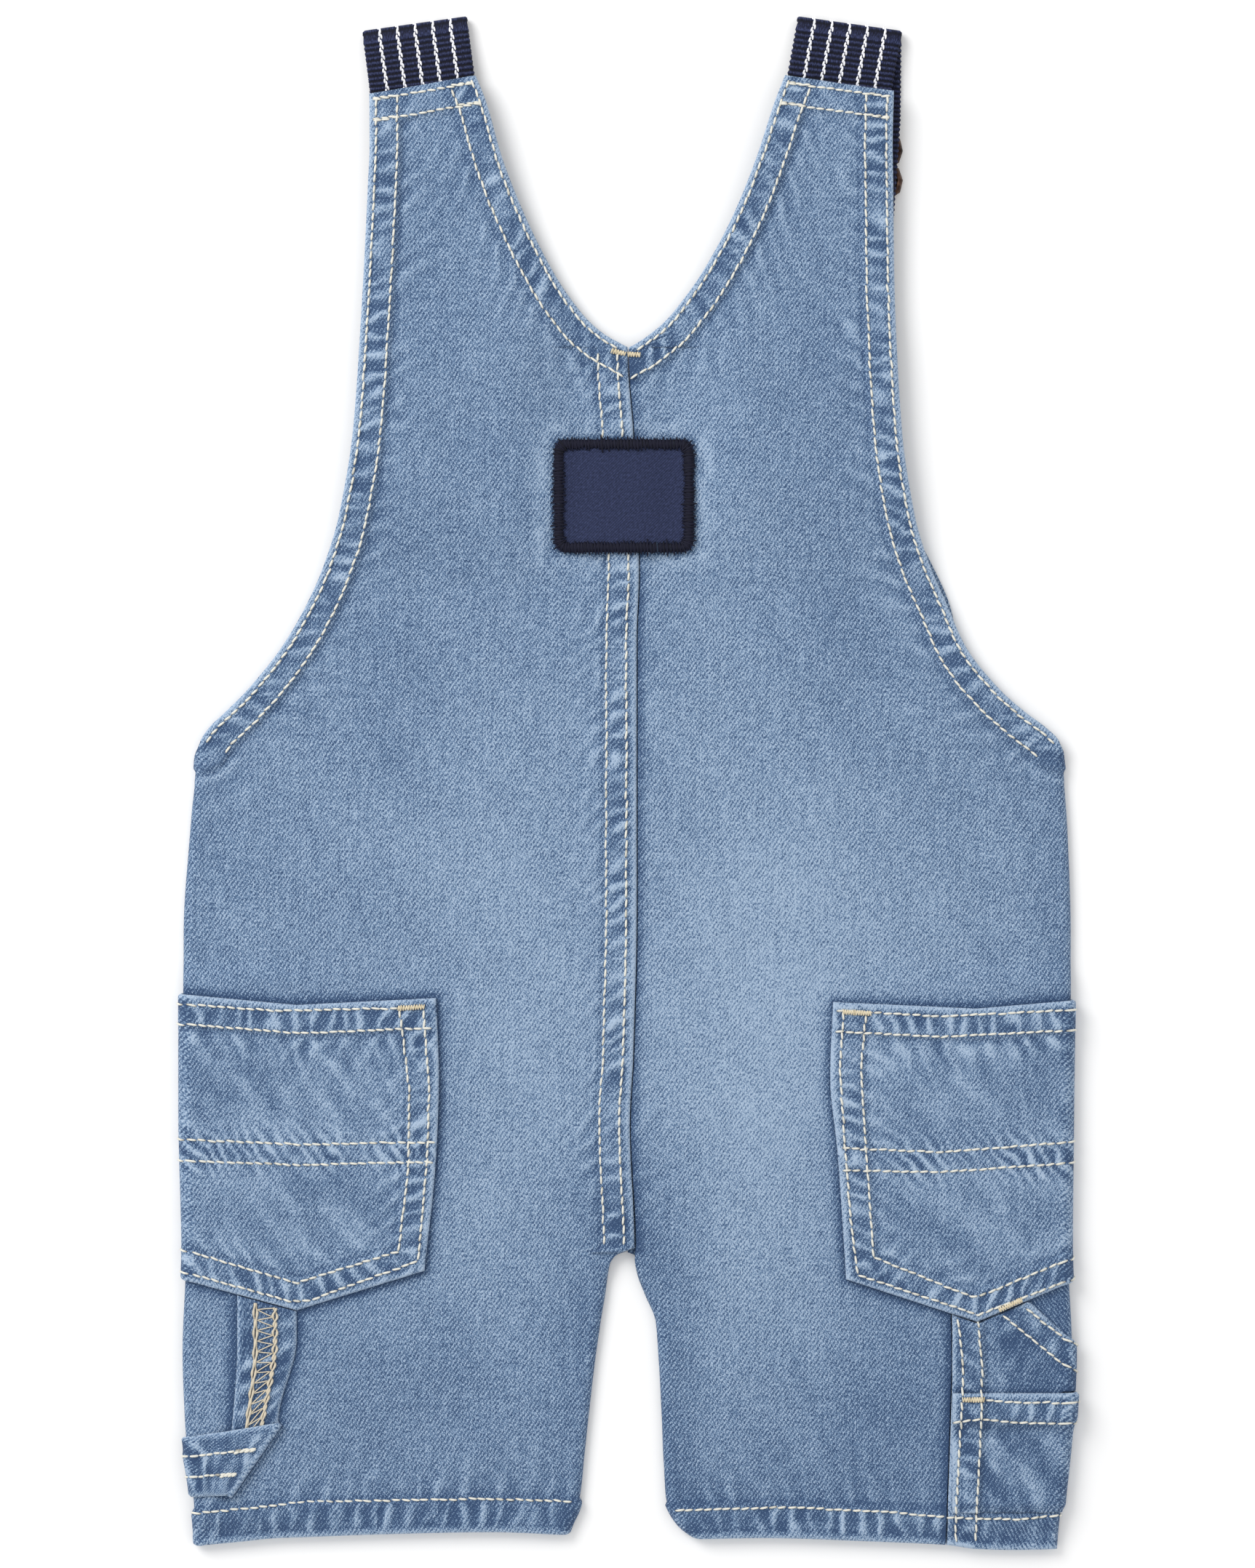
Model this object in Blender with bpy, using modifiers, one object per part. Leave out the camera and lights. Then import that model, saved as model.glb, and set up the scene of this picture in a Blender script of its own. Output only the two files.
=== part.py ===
"""Toddler's denim short overalls, laid flat on their front so that the back shows.

Lengths are in millimetres up to mesh_object, which turns them to metres. X runs to the viewer's
right, Y towards the shoulders and Z up from the table. The garment is symmetric in its cut, so
most places are given as an out distance: how far a point lies from X = 0 towards its own side,
measured along the cloth. Past a side fold that distance runs on round the fold and back under.
"""

import math

import bmesh
import bpy
import numpy as np

MM = 0.001

# Cloth, seams and folds
WALL = 1.2
GAP = 0.3
BAND = 1.0
POCKET_BAND = 0.7
HEM_WIDTH = 9.6
LEG_HEM = 10.8
EDGE_STEP = 0.8
FOLD_OUT = 2.5
STACK = 3.4
HALF_STACK = STACK / 2
ARC_RADIUS = (FOLD_OUT + HALF_STACK) / 2
HALF_TURN = math.pi * ARC_RADIUS
UNDER_TURN = 6.0
# Past this turn, the seam of the back and the front lies in the middle of a fold
SEAM_TURN = math.radians(60)
# How far in from a side fold each face starts to rise over the pocket layers, and where it ends
RISE_REACH = {-1: (22.0, 14.0), 1: (62.0, 6.0)}
# Out distances between which the upper back starts to rise over the straps
STRAP_RISE_REACH = (12.0, 38.0)
# The middle of the finished outline, which becomes the origin
OUTLINE_MIDDLE = (0.35, 0.25)

# Heights up the garment
UNDERARM = 12.7
CROTCH = -142.0
V_POINT = 131.9
BIB_FOOT = 12.2
HEM_Y = -228.0
SHOULDER_Y = 211.0

# Straps, their wire hardware and the patch
WEBBING_WIDTH = 31.75
WEBBING_WALL = 1.5
WIRE_RADIUS = 1.0
SLIDER_Y = 187.3
SLIDER_HALF = (16.7, 9.0)
BUCKLE_BAR_Y = 127.0
BUTTON_Y = 104.0
BUTTON_HEAD = (7.5, 1.0)
BUTTON_SHANK = (3.0, 3.3)
BUTTON_RIM = 0.35
BUTTON_SIDES = 16
BUCKLE_Z = 2.3
BUCKLE_RING = 6.0
BUCKLE_RING_START = math.radians(40)
BUCKLE_RING_STEPS = 5
PATCH_CENTRE = (-1.0, 87.0)
PATCH_SIZE = (42.0, 34.0)
PATCH_CORNER = 0.9
PATCH_BORDER = 2.6
PATCH_EDGE = 0.4
PATCH_WALL = 1.0
PATCH_LAP_ROOM = 0.1
# Along X, where the patch climbs onto the centre seam's lap and where it comes down again
PATCH_LAP = (-10.8, -8.2, 4.0, 6.4)

# Columns: height, then the cloth's outer edge on the left and on the right
OUTER_EDGE = (
    (-231.0, 130.4, 130.2),
    (-216.0, 131.2, 131.4),
    (-205.0, 132.7, 132.6),
    (-194.0, 133.7, 133.6),
    (-172.0, 134.5, 134.6),
    (-141.0, 133.4, 133.4),
    (-100.0, 134.3, 133.8),
    (-45.0, 134.3, 134.3),
    (-18.0, 132.6, 133.5),
    (8.3, 129.9, 131.5),
    (12.7, 129.1, 130.7),
    (17.1, 126.3, 126.5),
    (21.5, 121.7, 120.6),
    (28.1, 115.1, 113.1),
    (41.3, 104.5, 102.5),
    (54.5, 96.8, 96.6),
    (67.7, 91.1, 90.9),
    (80.9, 87.1, 86.9),
    (107.3, 82.7, 82.9),
    (149.0, 79.9, 80.8),
    (193.0, 76.8, 80.1),
    (209.0, 77.8, 80.5),
)

# Columns: height, then the inner edge on the left and right: inner leg, centre seam, neck
INNER_EDGE = (
    (-229.0, 19.0, 21.6),
    (-225.0, 17.4, 16.5),
    (-220.6, 15.6, 13.4),
    (-216.0, 14.3, 11.7),
    (-203.0, 12.9, 11.0),
    (-176.0, 10.0, 9.9),
    (-163.4, 8.1, 8.8),
    (-154.6, 6.6, 5.3),
    (-148.0, 5.7, 2.9),
    (-144.2, 4.8, 2.3),
    (-141.6, 1.3, 2.5),
    (-140.7, -2.2, 2.7),
    (-103.0, -0.8, 1.1),
    (-83.0, -1.8, 2.1),
    (-36.0, -2.9, 3.2),
    (43.5, -2.9, 3.2),
    (64.0, -3.6, 3.9),
    (107.0, -1.8, 2.1),
    (123.0, -0.5, 0.8),
    (131.9, -0.2, 0.5),
    (132.6, 0.9, 1.8),
    (135.9, 6.8, 6.8),
    (140.3, 11.9, 11.9),
    (144.7, 15.6, 15.6),
    (153.5, 21.6, 22.0),
    (171.1, 30.6, 31.7),
    (188.7, 37.6, 38.9),
    (206.3, 42.7, 44.7),
    (214.0, 45.8, 47.7),
)

# Columns: out distance, then the bottom of the leg on the left and on the right
LEG_END = (
    (18.5, -227.4, -228.7),
    (41.0, -226.5, -228.3),
    (76.0, -227.2, -229.4),
    (97.0, -228.0, -230.4),
    (106.0, -228.3, -231.6),
    (117.0, -229.4, -231.9),
    (131.0, -230.7, -231.6),
)

# Columns: out distance, then the shoulder's top on the left and on the right
SHOULDER_END = (
    (45.8, 213.7, 214.0),
    (80.0, 207.9, 209.2),
)

# Columns: height, then how far the pocket layers under the side lift it, left and right
UNDER_RISE = (
    (-227.0, 0.0, 0.0),
    (-220.8, 1.5, 1.5),
    (-61.0, 1.5, 1.5),
    (-54.0, 0.0, 0.0),
)

# Columns: height, then how far the straps and their hardware lift the upper back
STRAP_RISE = (
    (60.0, 0.0),
    (98.0, 3.6),
    (125.0, 3.6),
    (150.0, 2.4),
    (172.0, 2.8),
    (196.0, 4.1),
    (214.0, 3.8),
)

# Columns: height, then the bib's half width on the left and on the right
BIB_EDGE = (
    (12.2, 128.0, 129.0),
    (21.5, 119.5, 118.5),
    (28.1, 112.5, 111.0),
    (41.3, 101.5, 101.0),
    (54.5, 94.5, 97.6),
    (67.7, 88.5, 91.6),
    (80.9, 84.0, 84.5),
    (122.0, 77.0, 77.5),
)

# Columns: height, then the right outseam's out distance, from the side fold to the hem
OUTSEAM = (
    (-232.0, 96.2),
    (-175.0, 98.2),
    (-160.0, 97.9),
    (-72.0, 128.5),
    (-69.0, 131.4),
    (-66.5, 134.4),
)

# Columns: height, then the back pocket's inner edge on the left and on the right
POCKET_SIDE = (
    (-150.0, 61.7, 66.3),
    (-111.0, 57.7, 63.6),
    (-89.0, 56.9, 61.4),
    (-65.0, 57.8, 62.3),
)

# Columns: out distance, then the pocket's top and bottom
POCKET_ENDS = {
    -1: ((57.0, -64.8, -146.0), (99.9, -66.9, -159.2), (134.7, -63.6, -149.7), (150.0, -62.0, -145.5)),
    1: ((61.0, -66.0, -148.2), (105.6, -68.0, -162.7), (134.5, -65.5, -150.4), (150.0, -64.0, -144.0)),
}

# Columns: out distance, then the upper tool pocket's top edge with its slanted opening
TOOL_TOP = (
    (98.0, -160.6),
    (106.1, -163.2),
    (121.4, -156.4),
    (134.6, -168.6),
    (146.0, -179.0),
)

# Columns: height and the webbing's middle height above the table, on the front run
STRAP_FRONT = (
    (123.5, 4.35),
    (131.0, 4.35),
    (140.0, 1.9),
    (147.0, 0.75),
    (166.0, 0.75),
    (173.0, 3.05),
    (199.0, 3.05),
    (206.5, 0.95),
    (212.0, 0.75),
    (226.0, 0.75),
)

# Columns: height and middle height of the back run, from the fold down under the shoulder
STRAP_BACK = (
    (226.0, 3.15),
    (212.0, 4.3),
    (201.0, 5.05),
)

# Columns: height, then the strap's centre on its front run, left and right
STRAP_LINE = (
    (118.0, 59.0, 60.5),
    (187.0, 60.3, 65.8),
    (208.0, 61.8, 67.0),
    (229.0, 64.2, 67.3),
)

# Columns: height, then the strap's centre on its back run, left and right
STRAP_BACK_LINE = (
    (201.0, 60.4, 62.2),
    (229.0, 64.3, 67.3),
)
# The webbing's tilt at its fold, the share of it at the buckle, and where it grows
STRAP_TILT = math.radians(8.0)
STRAP_TILT_LOW = 0.35
STRAP_TILT_RISE = (195.0, 222.0)
STRAP_FOLD_REACH = 2.2
STRAP_FOLD_STEPS = 6

# Shares of the slider's half width and half height, from its top middle to its waist
SLIDER_QUARTER = (
    (0.0, 1.0),
    (0.83, 1.0),
    (0.96, 0.84),
    (1.0, 0.5),
    (0.94, 0.16),
    (0.84, 0.0),
)

# Out distance and height from the button: the buckle's right half down to its ring
BUCKLE_HALF = (
    (0.0, 23.0),
    (8.0, 23.0),
    (14.5, 23.0),
    (16.9, 21.6),
    (17.0, 19.0),
    (12.5, 12.8),
    (7.6, 7.6),
    (5.6, 5.4),
)

DENIM = (0.20, 0.32, 0.52)
NAVY = (0.016, 0.02, 0.05)
BRONZE = (0.25, 0.13, 0.08)


def ramp(value, start, end):
    """0 before start, 1 after end, and a smooth step between them."""
    t = min(max((value - start) / (end - start), 0.0), 1.0)
    return t * t * (3 - 2 * t)


def straight(table, column):
    """A function along straight lines through one column of a table."""
    keys = [row[0] for row in table]
    values = [row[column] for row in table]
    return lambda key: float(np.interp(key, keys, values))


def smooth(table, column):
    """A smooth function through one column of a table, which never swings past its values."""
    keys = np.array([row[0] for row in table])
    values = np.array([row[column] for row in table])
    steps = np.diff(keys)
    slopes = np.diff(values) / steps
    product = slopes[:-1] * slopes[1:]
    total = slopes[:-1] + slopes[1:]
    middle = np.where(product > 0, 2 * product / np.where(product > 0, total, 1), 0)
    tangents = np.concatenate([slopes[:1], middle, slopes[-1:]])

    def value(key):
        key = min(max(key, keys[0]), keys[-1])
        k = min(int(np.searchsorted(keys, key, side="right")) - 1, len(steps) - 1)
        t = (key - keys[k]) / steps[k]
        ends = (1 + 2 * t) * (1 - t) ** 2 * values[k] + t * t * (3 - 2 * t) * values[k + 1]
        turns = t * (1 - t) ** 2 * tangents[k] + t * t * (t - 1) * tangents[k + 1]
        return float(ends + steps[k] * turns)

    return value


def by_side(table, kind=smooth):
    """One function for the left, keyed -1, and one for the right, keyed 1."""
    return {-1: kind(table, 1), 1: kind(table, 2)}


outer_edge = by_side(OUTER_EDGE)
inner_edge = by_side(INNER_EDGE)
leg_end = by_side(LEG_END)
shoulder_end = by_side(SHOULDER_END, straight)
under_rise = by_side(UNDER_RISE)
bib_edge = by_side(BIB_EDGE)
pocket_side = by_side(POCKET_SIDE)
strap_line = by_side(STRAP_LINE)
strap_back_line = by_side(STRAP_BACK_LINE, straight)
strap_rise = smooth(STRAP_RISE, 1)
outseam = straight(OUTSEAM, 1)
OUTSEAM_TOP = OUTSEAM[-1][0] + 0.5
tool_top = straight(TOOL_TOP, 1)


def outer_turn(y):
    """The angle that the cloth has turned through at its outer edge: none along the armhole."""
    return math.pi / 2 * (1 - ramp(y, 6.0, UNDERARM))


def inner_turn(y):
    """The same at the inner leg, which starts below the crotch."""
    return math.pi / 2 * (1 - ramp(y, CROTCH - 10.0, CROTCH))


def flat_outer(side, y):
    """Where the flat cloth ends and its outer fold starts."""
    return outer_edge[side](y) - FOLD_OUT * math.sin(outer_turn(y))


def flat_inner(side, y):
    return inner_edge[side](y) + FOLD_OUT * math.sin(inner_turn(y))


def face_height(side, face, out, y):
    """The height of the garment's front or back face above the table, away from its folds."""
    fold = flat_outer(side, y)
    near_fold, at_fold = RISE_REACH[face]
    side_rise = under_rise[side](y) * ramp(out, fold - near_fold, fold - at_fold)
    top_rise = strap_rise(y) * ramp(out, *STRAP_RISE_REACH)
    return side_rise + top_rise + (STACK if face > 0 else 0)


def fold_middle(side, start, y):
    return face_height(side, -1, start, y) + HALF_STACK


def flat_point(side, face, out, y, lift):
    return (side * out, y, face_height(side, face, out, y) + face * lift)


def fold_point(side, face, start, way, turn, y, lift):
    """A point on a fold: an ellipse round the garment's edge that starts at an out distance."""
    middle = fold_middle(side, start, y)
    out = start + way * (FOLD_OUT + lift) * math.sin(turn)
    return (side * out, y, middle + face * (HALF_STACK + lift) * math.cos(turn))


def skin(side, face, out, y, lift):
    """The point this far along one face of the garment, raised off the cloth by lift.

    face is 1 for the back, which lies on top, and -1 for the front. Going past the outer fold
    the distance runs on to the other face.
    """
    start = flat_outer(side, y)
    if out > start:
        turn = (out - start) / ARC_RADIUS
        if turn < math.pi:
            return fold_point(side, face, start, 1, turn, y, lift)
        return flat_point(side, -face, 2 * start + HALF_TURN - out, y, lift)
    start = flat_inner(side, y)
    if out < start and y < CROTCH:
        return fold_point(side, face, start, -1, (start - out) / ARC_RADIUS, y, lift)
    return flat_point(side, face, out, y, lift)


def kept_to_face(point, side, face, start, y):
    """The point held back from the seam in the middle of a fold, by half of the gap."""
    middle = fold_middle(side, start, y)
    height = face * max(face * (point[2] - middle), GAP / 2)
    return (point[0], point[1], middle + height)


def edge_points(edge, side, low, high, count=90):
    """Points along one edge of the back, for measuring how near a place is to it."""
    heights = np.linspace(low, high, count)
    return np.array([(edge[side](y), y) for y in heights])


NECK_POINTS = {side: edge_points(inner_edge, side, V_POINT, 214.0) for side in (-1, 1)}
ARMHOLE_POINTS = {side: edge_points(outer_edge, side, UNDERARM, 209.0) for side in (-1, 1)}


def near(points, out, y):
    """The distance from a place to the nearest of some points."""
    return float(np.min(np.hypot(points[:, 0] - out, points[:, 1] - y)))


def band(distance, width):
    """1 on a turned hem this wide, and 0 past its inner edge."""
    return 1 - ramp(distance, width - EDGE_STEP, width + 0.2)


def leg_bottom(side, out, y):
    """The end of the leg at this place, on either face."""
    start = flat_outer(side, y)
    return leg_end[side](out if out < start else 2 * start + HALF_TURN - out)


def back_raise(side, out, y):
    """How far a turned hem or the lapped centre seam stands up from the back."""
    seams = [
        band(near(NECK_POINTS[side], out, y), HEM_WIDTH),
        band(near(ARMHOLE_POINTS[side], out, y), HEM_WIDTH),
        band(y - leg_bottom(side, out, y), LEG_HEM),
        band(shoulder_end[side](out) - y, HEM_WIDTH),
    ]
    if side < 0 and CROTCH < y < V_POINT:
        seams.append(band(out - inner_edge[side](y), HEM_WIDTH))
    return BAND * max(seams)


def mesh_object(name, bm, material):
    """Turns a bmesh in millimetres into a named object in metres."""
    bmesh.ops.recalc_face_normals(bm, faces=bm.faces)
    if bm.calc_volume(signed=True) < 0:
        bmesh.ops.reverse_faces(bm, faces=bm.faces)
    bmesh.ops.scale(bm, vec=(MM, MM, MM), verts=bm.verts)
    mesh = bpy.data.meshes.new(name)
    bm.to_mesh(mesh)
    bm.free()
    mesh.shade_smooth()
    mesh.set_sharp_from_angle(angle=math.radians(35))
    mesh.materials.append(material)
    obj = bpy.data.objects.new(name, mesh)
    garment.objects.link(obj)
    return obj


def cloth(name, columns, rows, place, material):
    """A cloth piece: a grid for its outer face, extruded once for its inner face and its rim.

    place(column, row, outer) gives each point, by its column and row in the grid.
    """
    bm = bmesh.new()
    bmesh.ops.create_grid(bm, x_segments=columns - 1, y_segments=rows - 1, size=0.5)
    outer = {vert: True for vert in bm.verts}
    made = bmesh.ops.extrude_face_region(bm, geom=bm.faces[:], use_keep_orig=True)
    for item in made["geom"]:
        if isinstance(item, bmesh.types.BMVert):
            outer[item] = False
    for vert, is_outer in outer.items():
        column = round((vert.co.x + 0.5) * (columns - 1))
        row = round((vert.co.y + 0.5) * (rows - 1))
        vert.co = place(column, row, is_outer)
    return mesh_object(name, bm, material)


def spread(start, end, count):
    """Evenly spaced values between start and end, without the two ends."""
    return [start + (end - start) * k / (count + 1) for k in range(1, count + 1)]


HEM_STEPS = (0.0, 1.2, 3.5, HEM_WIDTH - 1.0, HEM_WIDTH + 0.2)
MIDDLE_COLUMNS = 5


def slant(edge, side, y):
    """How much wider a hem along an edge is when it is measured straight across."""
    lean = (edge[side](y + 1) - edge[side](y - 1)) / 2
    return min(math.hypot(1, lean), 1.7)


def back_ends(side, y):
    """The out distances where a back panel starts and ends at this height."""
    end = flat_outer(side, y) + ARC_RADIUS * outer_turn(y)
    if side > 0 and y < OUTSEAM_TOP:
        end = outseam(y)
    start = inner_edge[side](y)
    if y < CROTCH:
        start = flat_inner(side, y) - ARC_RADIUS * inner_turn(y)
    return start, end


def back_out(side, column, y):
    """Columns keep their distance from both edges, so that they follow the hems and folds."""
    start, end = back_ends(side, y)
    steps = len(HEM_STEPS)
    if column < steps:
        return start + HEM_STEPS[column] * (slant(inner_edge, side, y) if y > V_POINT else 1)
    last = 2 * steps + MIDDLE_COLUMNS - 1
    if column > last - steps:
        return end - HEM_STEPS[last - column] * (slant(outer_edge, side, y) if y > UNDERARM else 1)
    first_out = back_out(side, steps - 1, y)
    last_out = back_out(side, last - steps + 1, y)
    return spread(first_out, last_out, MIDDLE_COLUMNS)[column - steps]


def end_fitted(side, out, y):
    """A row's height at this place: rows follow the leg's end below and the shoulder's above."""
    low_share = 1 - ramp(y, HEM_Y, -165.0)
    high_share = ramp(y, 165.0, SHOULDER_Y)
    low = leg_bottom(side, out, y) - HEM_Y
    high = shoulder_end[side](out) - SHOULDER_Y
    return y + low_share * low + high_share * high


# Rows that the back and the front share, so that their edges match along the seams
LOWER_ROWS = (
    [HEM_Y, HEM_Y + EDGE_STEP, HEM_Y + LEG_HEM - EDGE_STEP, HEM_Y + LEG_HEM + 0.2]
    + [-206.0, -195.0, -184.0, -175.0, -166.0, -163.5, -160.0, -152.0, -147.0, -144.0, -142.8]
    + [-141.6, -140.7, -124.0, -105.0, -88.0, -72.0, -69.0, -66.5, -61.0, -54.0, -34.0, -12.0]
    + [4.0, 8.0]
)
BACK_ROWS = (
    LOWER_ROWS
    + [12.7, 16.0, 20.0, 25.0, 31.0, 39.0, 48.0, 60.0, 74.0, 90.0, 106.0, 118.0, 123.0, 128.0]
    + [131.9, 132.6, 134.0, 136.0, 139.0, 142.5, 147.0, 153.5, 162.0, 172.0, 184.0, 194.0]
    + [SHOULDER_Y - HEM_WIDTH - 0.2, SHOULDER_Y - HEM_WIDTH + EDGE_STEP]
    + [SHOULDER_Y - EDGE_STEP, SHOULDER_Y]
)


def make_back(side, name, material):
    """One half of the back, from its shoulder to its leg, with its turned hems."""
    columns = 2 * len(HEM_STEPS) + MIDDLE_COLUMNS

    def place(column, row, outer):
        y = end_fitted(side, back_out(side, column, BACK_ROWS[row]), BACK_ROWS[row])
        out = back_out(side, column, y)
        lift = back_raise(side, out, y) if outer else -WALL
        point = skin(side, 1, out, y, lift)
        start = flat_outer(side, y) if out > 50 else flat_inner(side, y)
        folded = outer_turn(y) if out > 50 else inner_turn(y)
        on_seam = column == (columns - 1 if out > 50 else 0)
        at_outseam = side > 0 and out > 50 and y < OUTSEAM_TOP
        if on_seam and folded > SEAM_TURN and not at_outseam:
            point = kept_to_face(point, side, 1, start, y)
        return point

    return cloth(name, columns, len(BACK_ROWS), place, material)


FRONT_ROWS = LOWER_ROWS + [BIB_FOOT - GAP]
FRONT_INNER_STEPS = (0.0, 1.2, 3.5)
FRONT_MIDDLE = 3
FRONT_FLATS = (24.0, 13.0, 0.4)
# On the panel that wraps over to the back: steps round the fold, then back from the lap's edge
WRAP_FOLD = (1.1, 2.2, 3.3, 4.4, 5.5, HALF_TURN)
WRAP_LAP = (0.0, EDGE_STEP, HEM_WIDTH - 1.0, HEM_WIDTH + 0.2)
WRAP_COLUMNS = {-1: 3, 1: len(WRAP_FOLD) + 1 + len(WRAP_LAP)}
WRAP_SHORTEST = 18.0


def front_end(side, y):
    """Where a front panel ends, in the fold or, on the right leg, at the outseam on the back."""
    start = flat_outer(side, y)
    if side > 0 and y < OUTSEAM_TOP:
        return 2 * start + HALF_TURN - outseam(y) - GAP
    return start + ARC_RADIUS * outer_turn(y)


def wrap_step(side, column, length):
    """How far past the start of the outer fold a wrapping column lies, of this whole length."""
    last = WRAP_COLUMNS[side] - 1 - column
    if length < WRAP_SHORTEST:
        return length * (column + 1) / WRAP_COLUMNS[side]
    if last < len(WRAP_LAP):
        return length - WRAP_LAP[last]
    if column < len(WRAP_FOLD):
        return WRAP_FOLD[column]
    return (WRAP_FOLD[-1] + length - WRAP_LAP[-1]) / 2


def front_out(side, column, y):
    start = GAP / 2
    if y < CROTCH:
        start = max(flat_inner(side, y) - ARC_RADIUS * inner_turn(y), GAP / 2)
    fold = flat_outer(side, y)
    flats = [start + step for step in FRONT_INNER_STEPS]
    flats += spread(flats[-1], fold - FRONT_FLATS[0], FRONT_MIDDLE)
    flats += [fold - step for step in FRONT_FLATS]
    if column < len(flats):
        return flats[column]
    return fold + wrap_step(side, column - len(flats), front_end(side, y) - fold)


def lap_rise(out, y):
    """How far the outseam's lap stands up from the back of the right leg, below the pocket."""
    below_pocket = 1 - ramp(y, -166.0, -163.5)
    return BAND * band(out - outseam(y) - GAP, HEM_WIDTH) * below_pocket


def front_raise(side, out, y):
    """The lap at the outseam and the leg hem stand up, but only where they are on the back."""
    fold = flat_outer(side, y)
    if out < fold + HALF_TURN / 2:
        return 0.0
    hem = BAND * band(y - leg_bottom(side, out, y), LEG_HEM)
    hem *= ramp(out, fold + HALF_TURN / 2, fold + HALF_TURN)
    lap = lap_rise(2 * fold + HALF_TURN - out, y) if side > 0 else 0.0
    return max(hem, lap)


def make_front(side, name, material):
    """One half of the trouser front, which lies on the table from waist to leg."""
    columns = len(FRONT_INNER_STEPS) + FRONT_MIDDLE + len(FRONT_FLATS) + WRAP_COLUMNS[side]

    def place(column, row, outer):
        y = end_fitted(side, front_out(side, column, FRONT_ROWS[row]), FRONT_ROWS[row])
        out = front_out(side, column, y)
        lift = front_raise(side, out, y) if outer else -WALL
        point = skin(side, -1, out, y, lift)
        if column == 0 and inner_turn(y) > SEAM_TURN:
            point = kept_to_face(point, side, -1, flat_inner(side, y), y)
        in_fold = not (side > 0 and y < OUTSEAM_TOP)
        if column == columns - 1 and in_fold and outer_turn(y) > SEAM_TURN:
            point = kept_to_face(point, side, -1, flat_outer(side, y), y)
        return point

    return cloth(name, columns, len(FRONT_ROWS), place, material)


BIB_ROWS = (12.2, 18.0, 24.0, 32.0, 41.3, 54.5, 60.0, 67.7, 80.0, 92.0, 103.0, 112.0, 122.0)
BIB_COLUMNS = (-1.0, -0.85, -0.7, -0.5, -0.3, -0.1, 0.1, 0.3, 0.5, 0.7, 0.85, 1.0)


def make_bib(name, material):
    """The bib, which lies under the back with the buckles and buttons under its top corners."""

    def place(column, row, outer):
        y = BIB_ROWS[row]
        share = BIB_COLUMNS[column]
        side = 1 if share > 0 else -1
        out = abs(share) * bib_edge[side](y)
        return (side * out, y, face_height(side, -1, out, y) + (0 if outer else WALL))

    return cloth(name, len(BIB_COLUMNS), len(BIB_ROWS), place, material)


POCKET_STEPS = (0.0, EDGE_STEP, HEM_WIDTH - EDGE_STEP, HEM_WIDTH)
POCKET_FOLD = (-1.0, 0.9, 2.0, 3.3, 4.6, 5.7, HALF_TURN, HALF_TURN + UNDER_TURN)
# The height at which a grid's columns are first set, before its rows follow a slanted edge
POCKET_MIDDLE_Y = -105.0
# Past the start of the side fold, where a pocket's raised band has died away
BAND_DIES = (1.0, 3.5)
# The folded edges of a pocket's side and bottom are thinner than its hemmed top
EDGE_SHARE = 0.7


def before_fold(side, out, y):
    """1 on the flat back, and 0 once a side fold has turned a little."""
    past = out - flat_outer(side, y)
    return 1 - ramp(past, *BAND_DIES)


def make_back_pocket(side, name, material):
    """A pointed patch pocket that reaches from the back round the side fold."""
    top = straight(POCKET_ENDS[side], 1)
    bottom = straight(POCKET_ENDS[side], 2)
    apex = POCKET_ENDS[side][1][0]

    def out_at(column, y):
        start = pocket_side[side](y)
        fold = flat_outer(side, y)
        steps = [start + step for step in POCKET_STEPS]
        middle = spread(steps[-1], apex, 1) + [apex] + spread(apex, fold - 1, 1)
        return (steps + middle + [fold + step for step in POCKET_FOLD])[column]

    columns = len(POCKET_STEPS) + 3 + len(POCKET_FOLD)
    middle_rows = 2
    rows = 2 * len(POCKET_STEPS) + middle_rows

    def height(row, out):
        low = bottom(out)
        high = top(out)
        if row < len(POCKET_STEPS):
            return low + POCKET_STEPS[row]
        if row >= rows - len(POCKET_STEPS):
            return high - POCKET_STEPS[rows - 1 - row]
        inside = spread(low + POCKET_STEPS[-1], high - POCKET_STEPS[-1], middle_rows)
        return inside[row - len(POCKET_STEPS)]

    def place(column, row, outer):
        y = height(row, out_at(column, POCKET_MIDDLE_Y))
        out = out_at(column, y)
        y = height(row, out)
        hems = [
            band(top(out) - y, HEM_WIDTH),
            EDGE_SHARE * band(y - bottom(out), HEM_WIDTH),
            EDGE_SHARE * band(out - pocket_side[side](y), HEM_WIDTH),
        ]
        raised = POCKET_BAND * max(hems) * before_fold(side, out, y)
        return skin(side, 1, out, y, GAP + (WALL + raised if outer else 0))

    return cloth(name, columns, rows, place, material)


# The tool pocket: its columns on the lap and past it, and its rows from foot to mouth
TOOL_START = 98.2
TOOL_LAP_END = (106.1, 107.3)
TOOL_FOLD = (-10.0, -1.0, 0.9, 2.0, 3.3, 4.6, 5.7, HALF_TURN, HALF_TURN + 4.0)
TOOL_MOUTH = -184.0
TOOL_FOOT = -220.4
TOOL_MIDDLE_Y = -175.0
TOOL_ROWS = (TOOL_FOOT, -212.0, -203.0, -197.0, -194.2, -191.6, TOOL_MOUTH - EDGE_STEP, TOOL_MOUTH)
# The upper layer reaches this far down inside the lower one, and stops short of the fold
TOOL_OVERLAP = 5.0
TOOL_OVERLAP_ENDS = (-5.0, -0.5)
# Heights between which the lower layer climbs onto the upper one
TOOL_CLIMB = (-196.5, -191.0)
# Past the start of the side fold, where the lower layer has come down off the upper one again
TOOL_CLIMB_ENDS = (0.9, 5.7)


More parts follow.
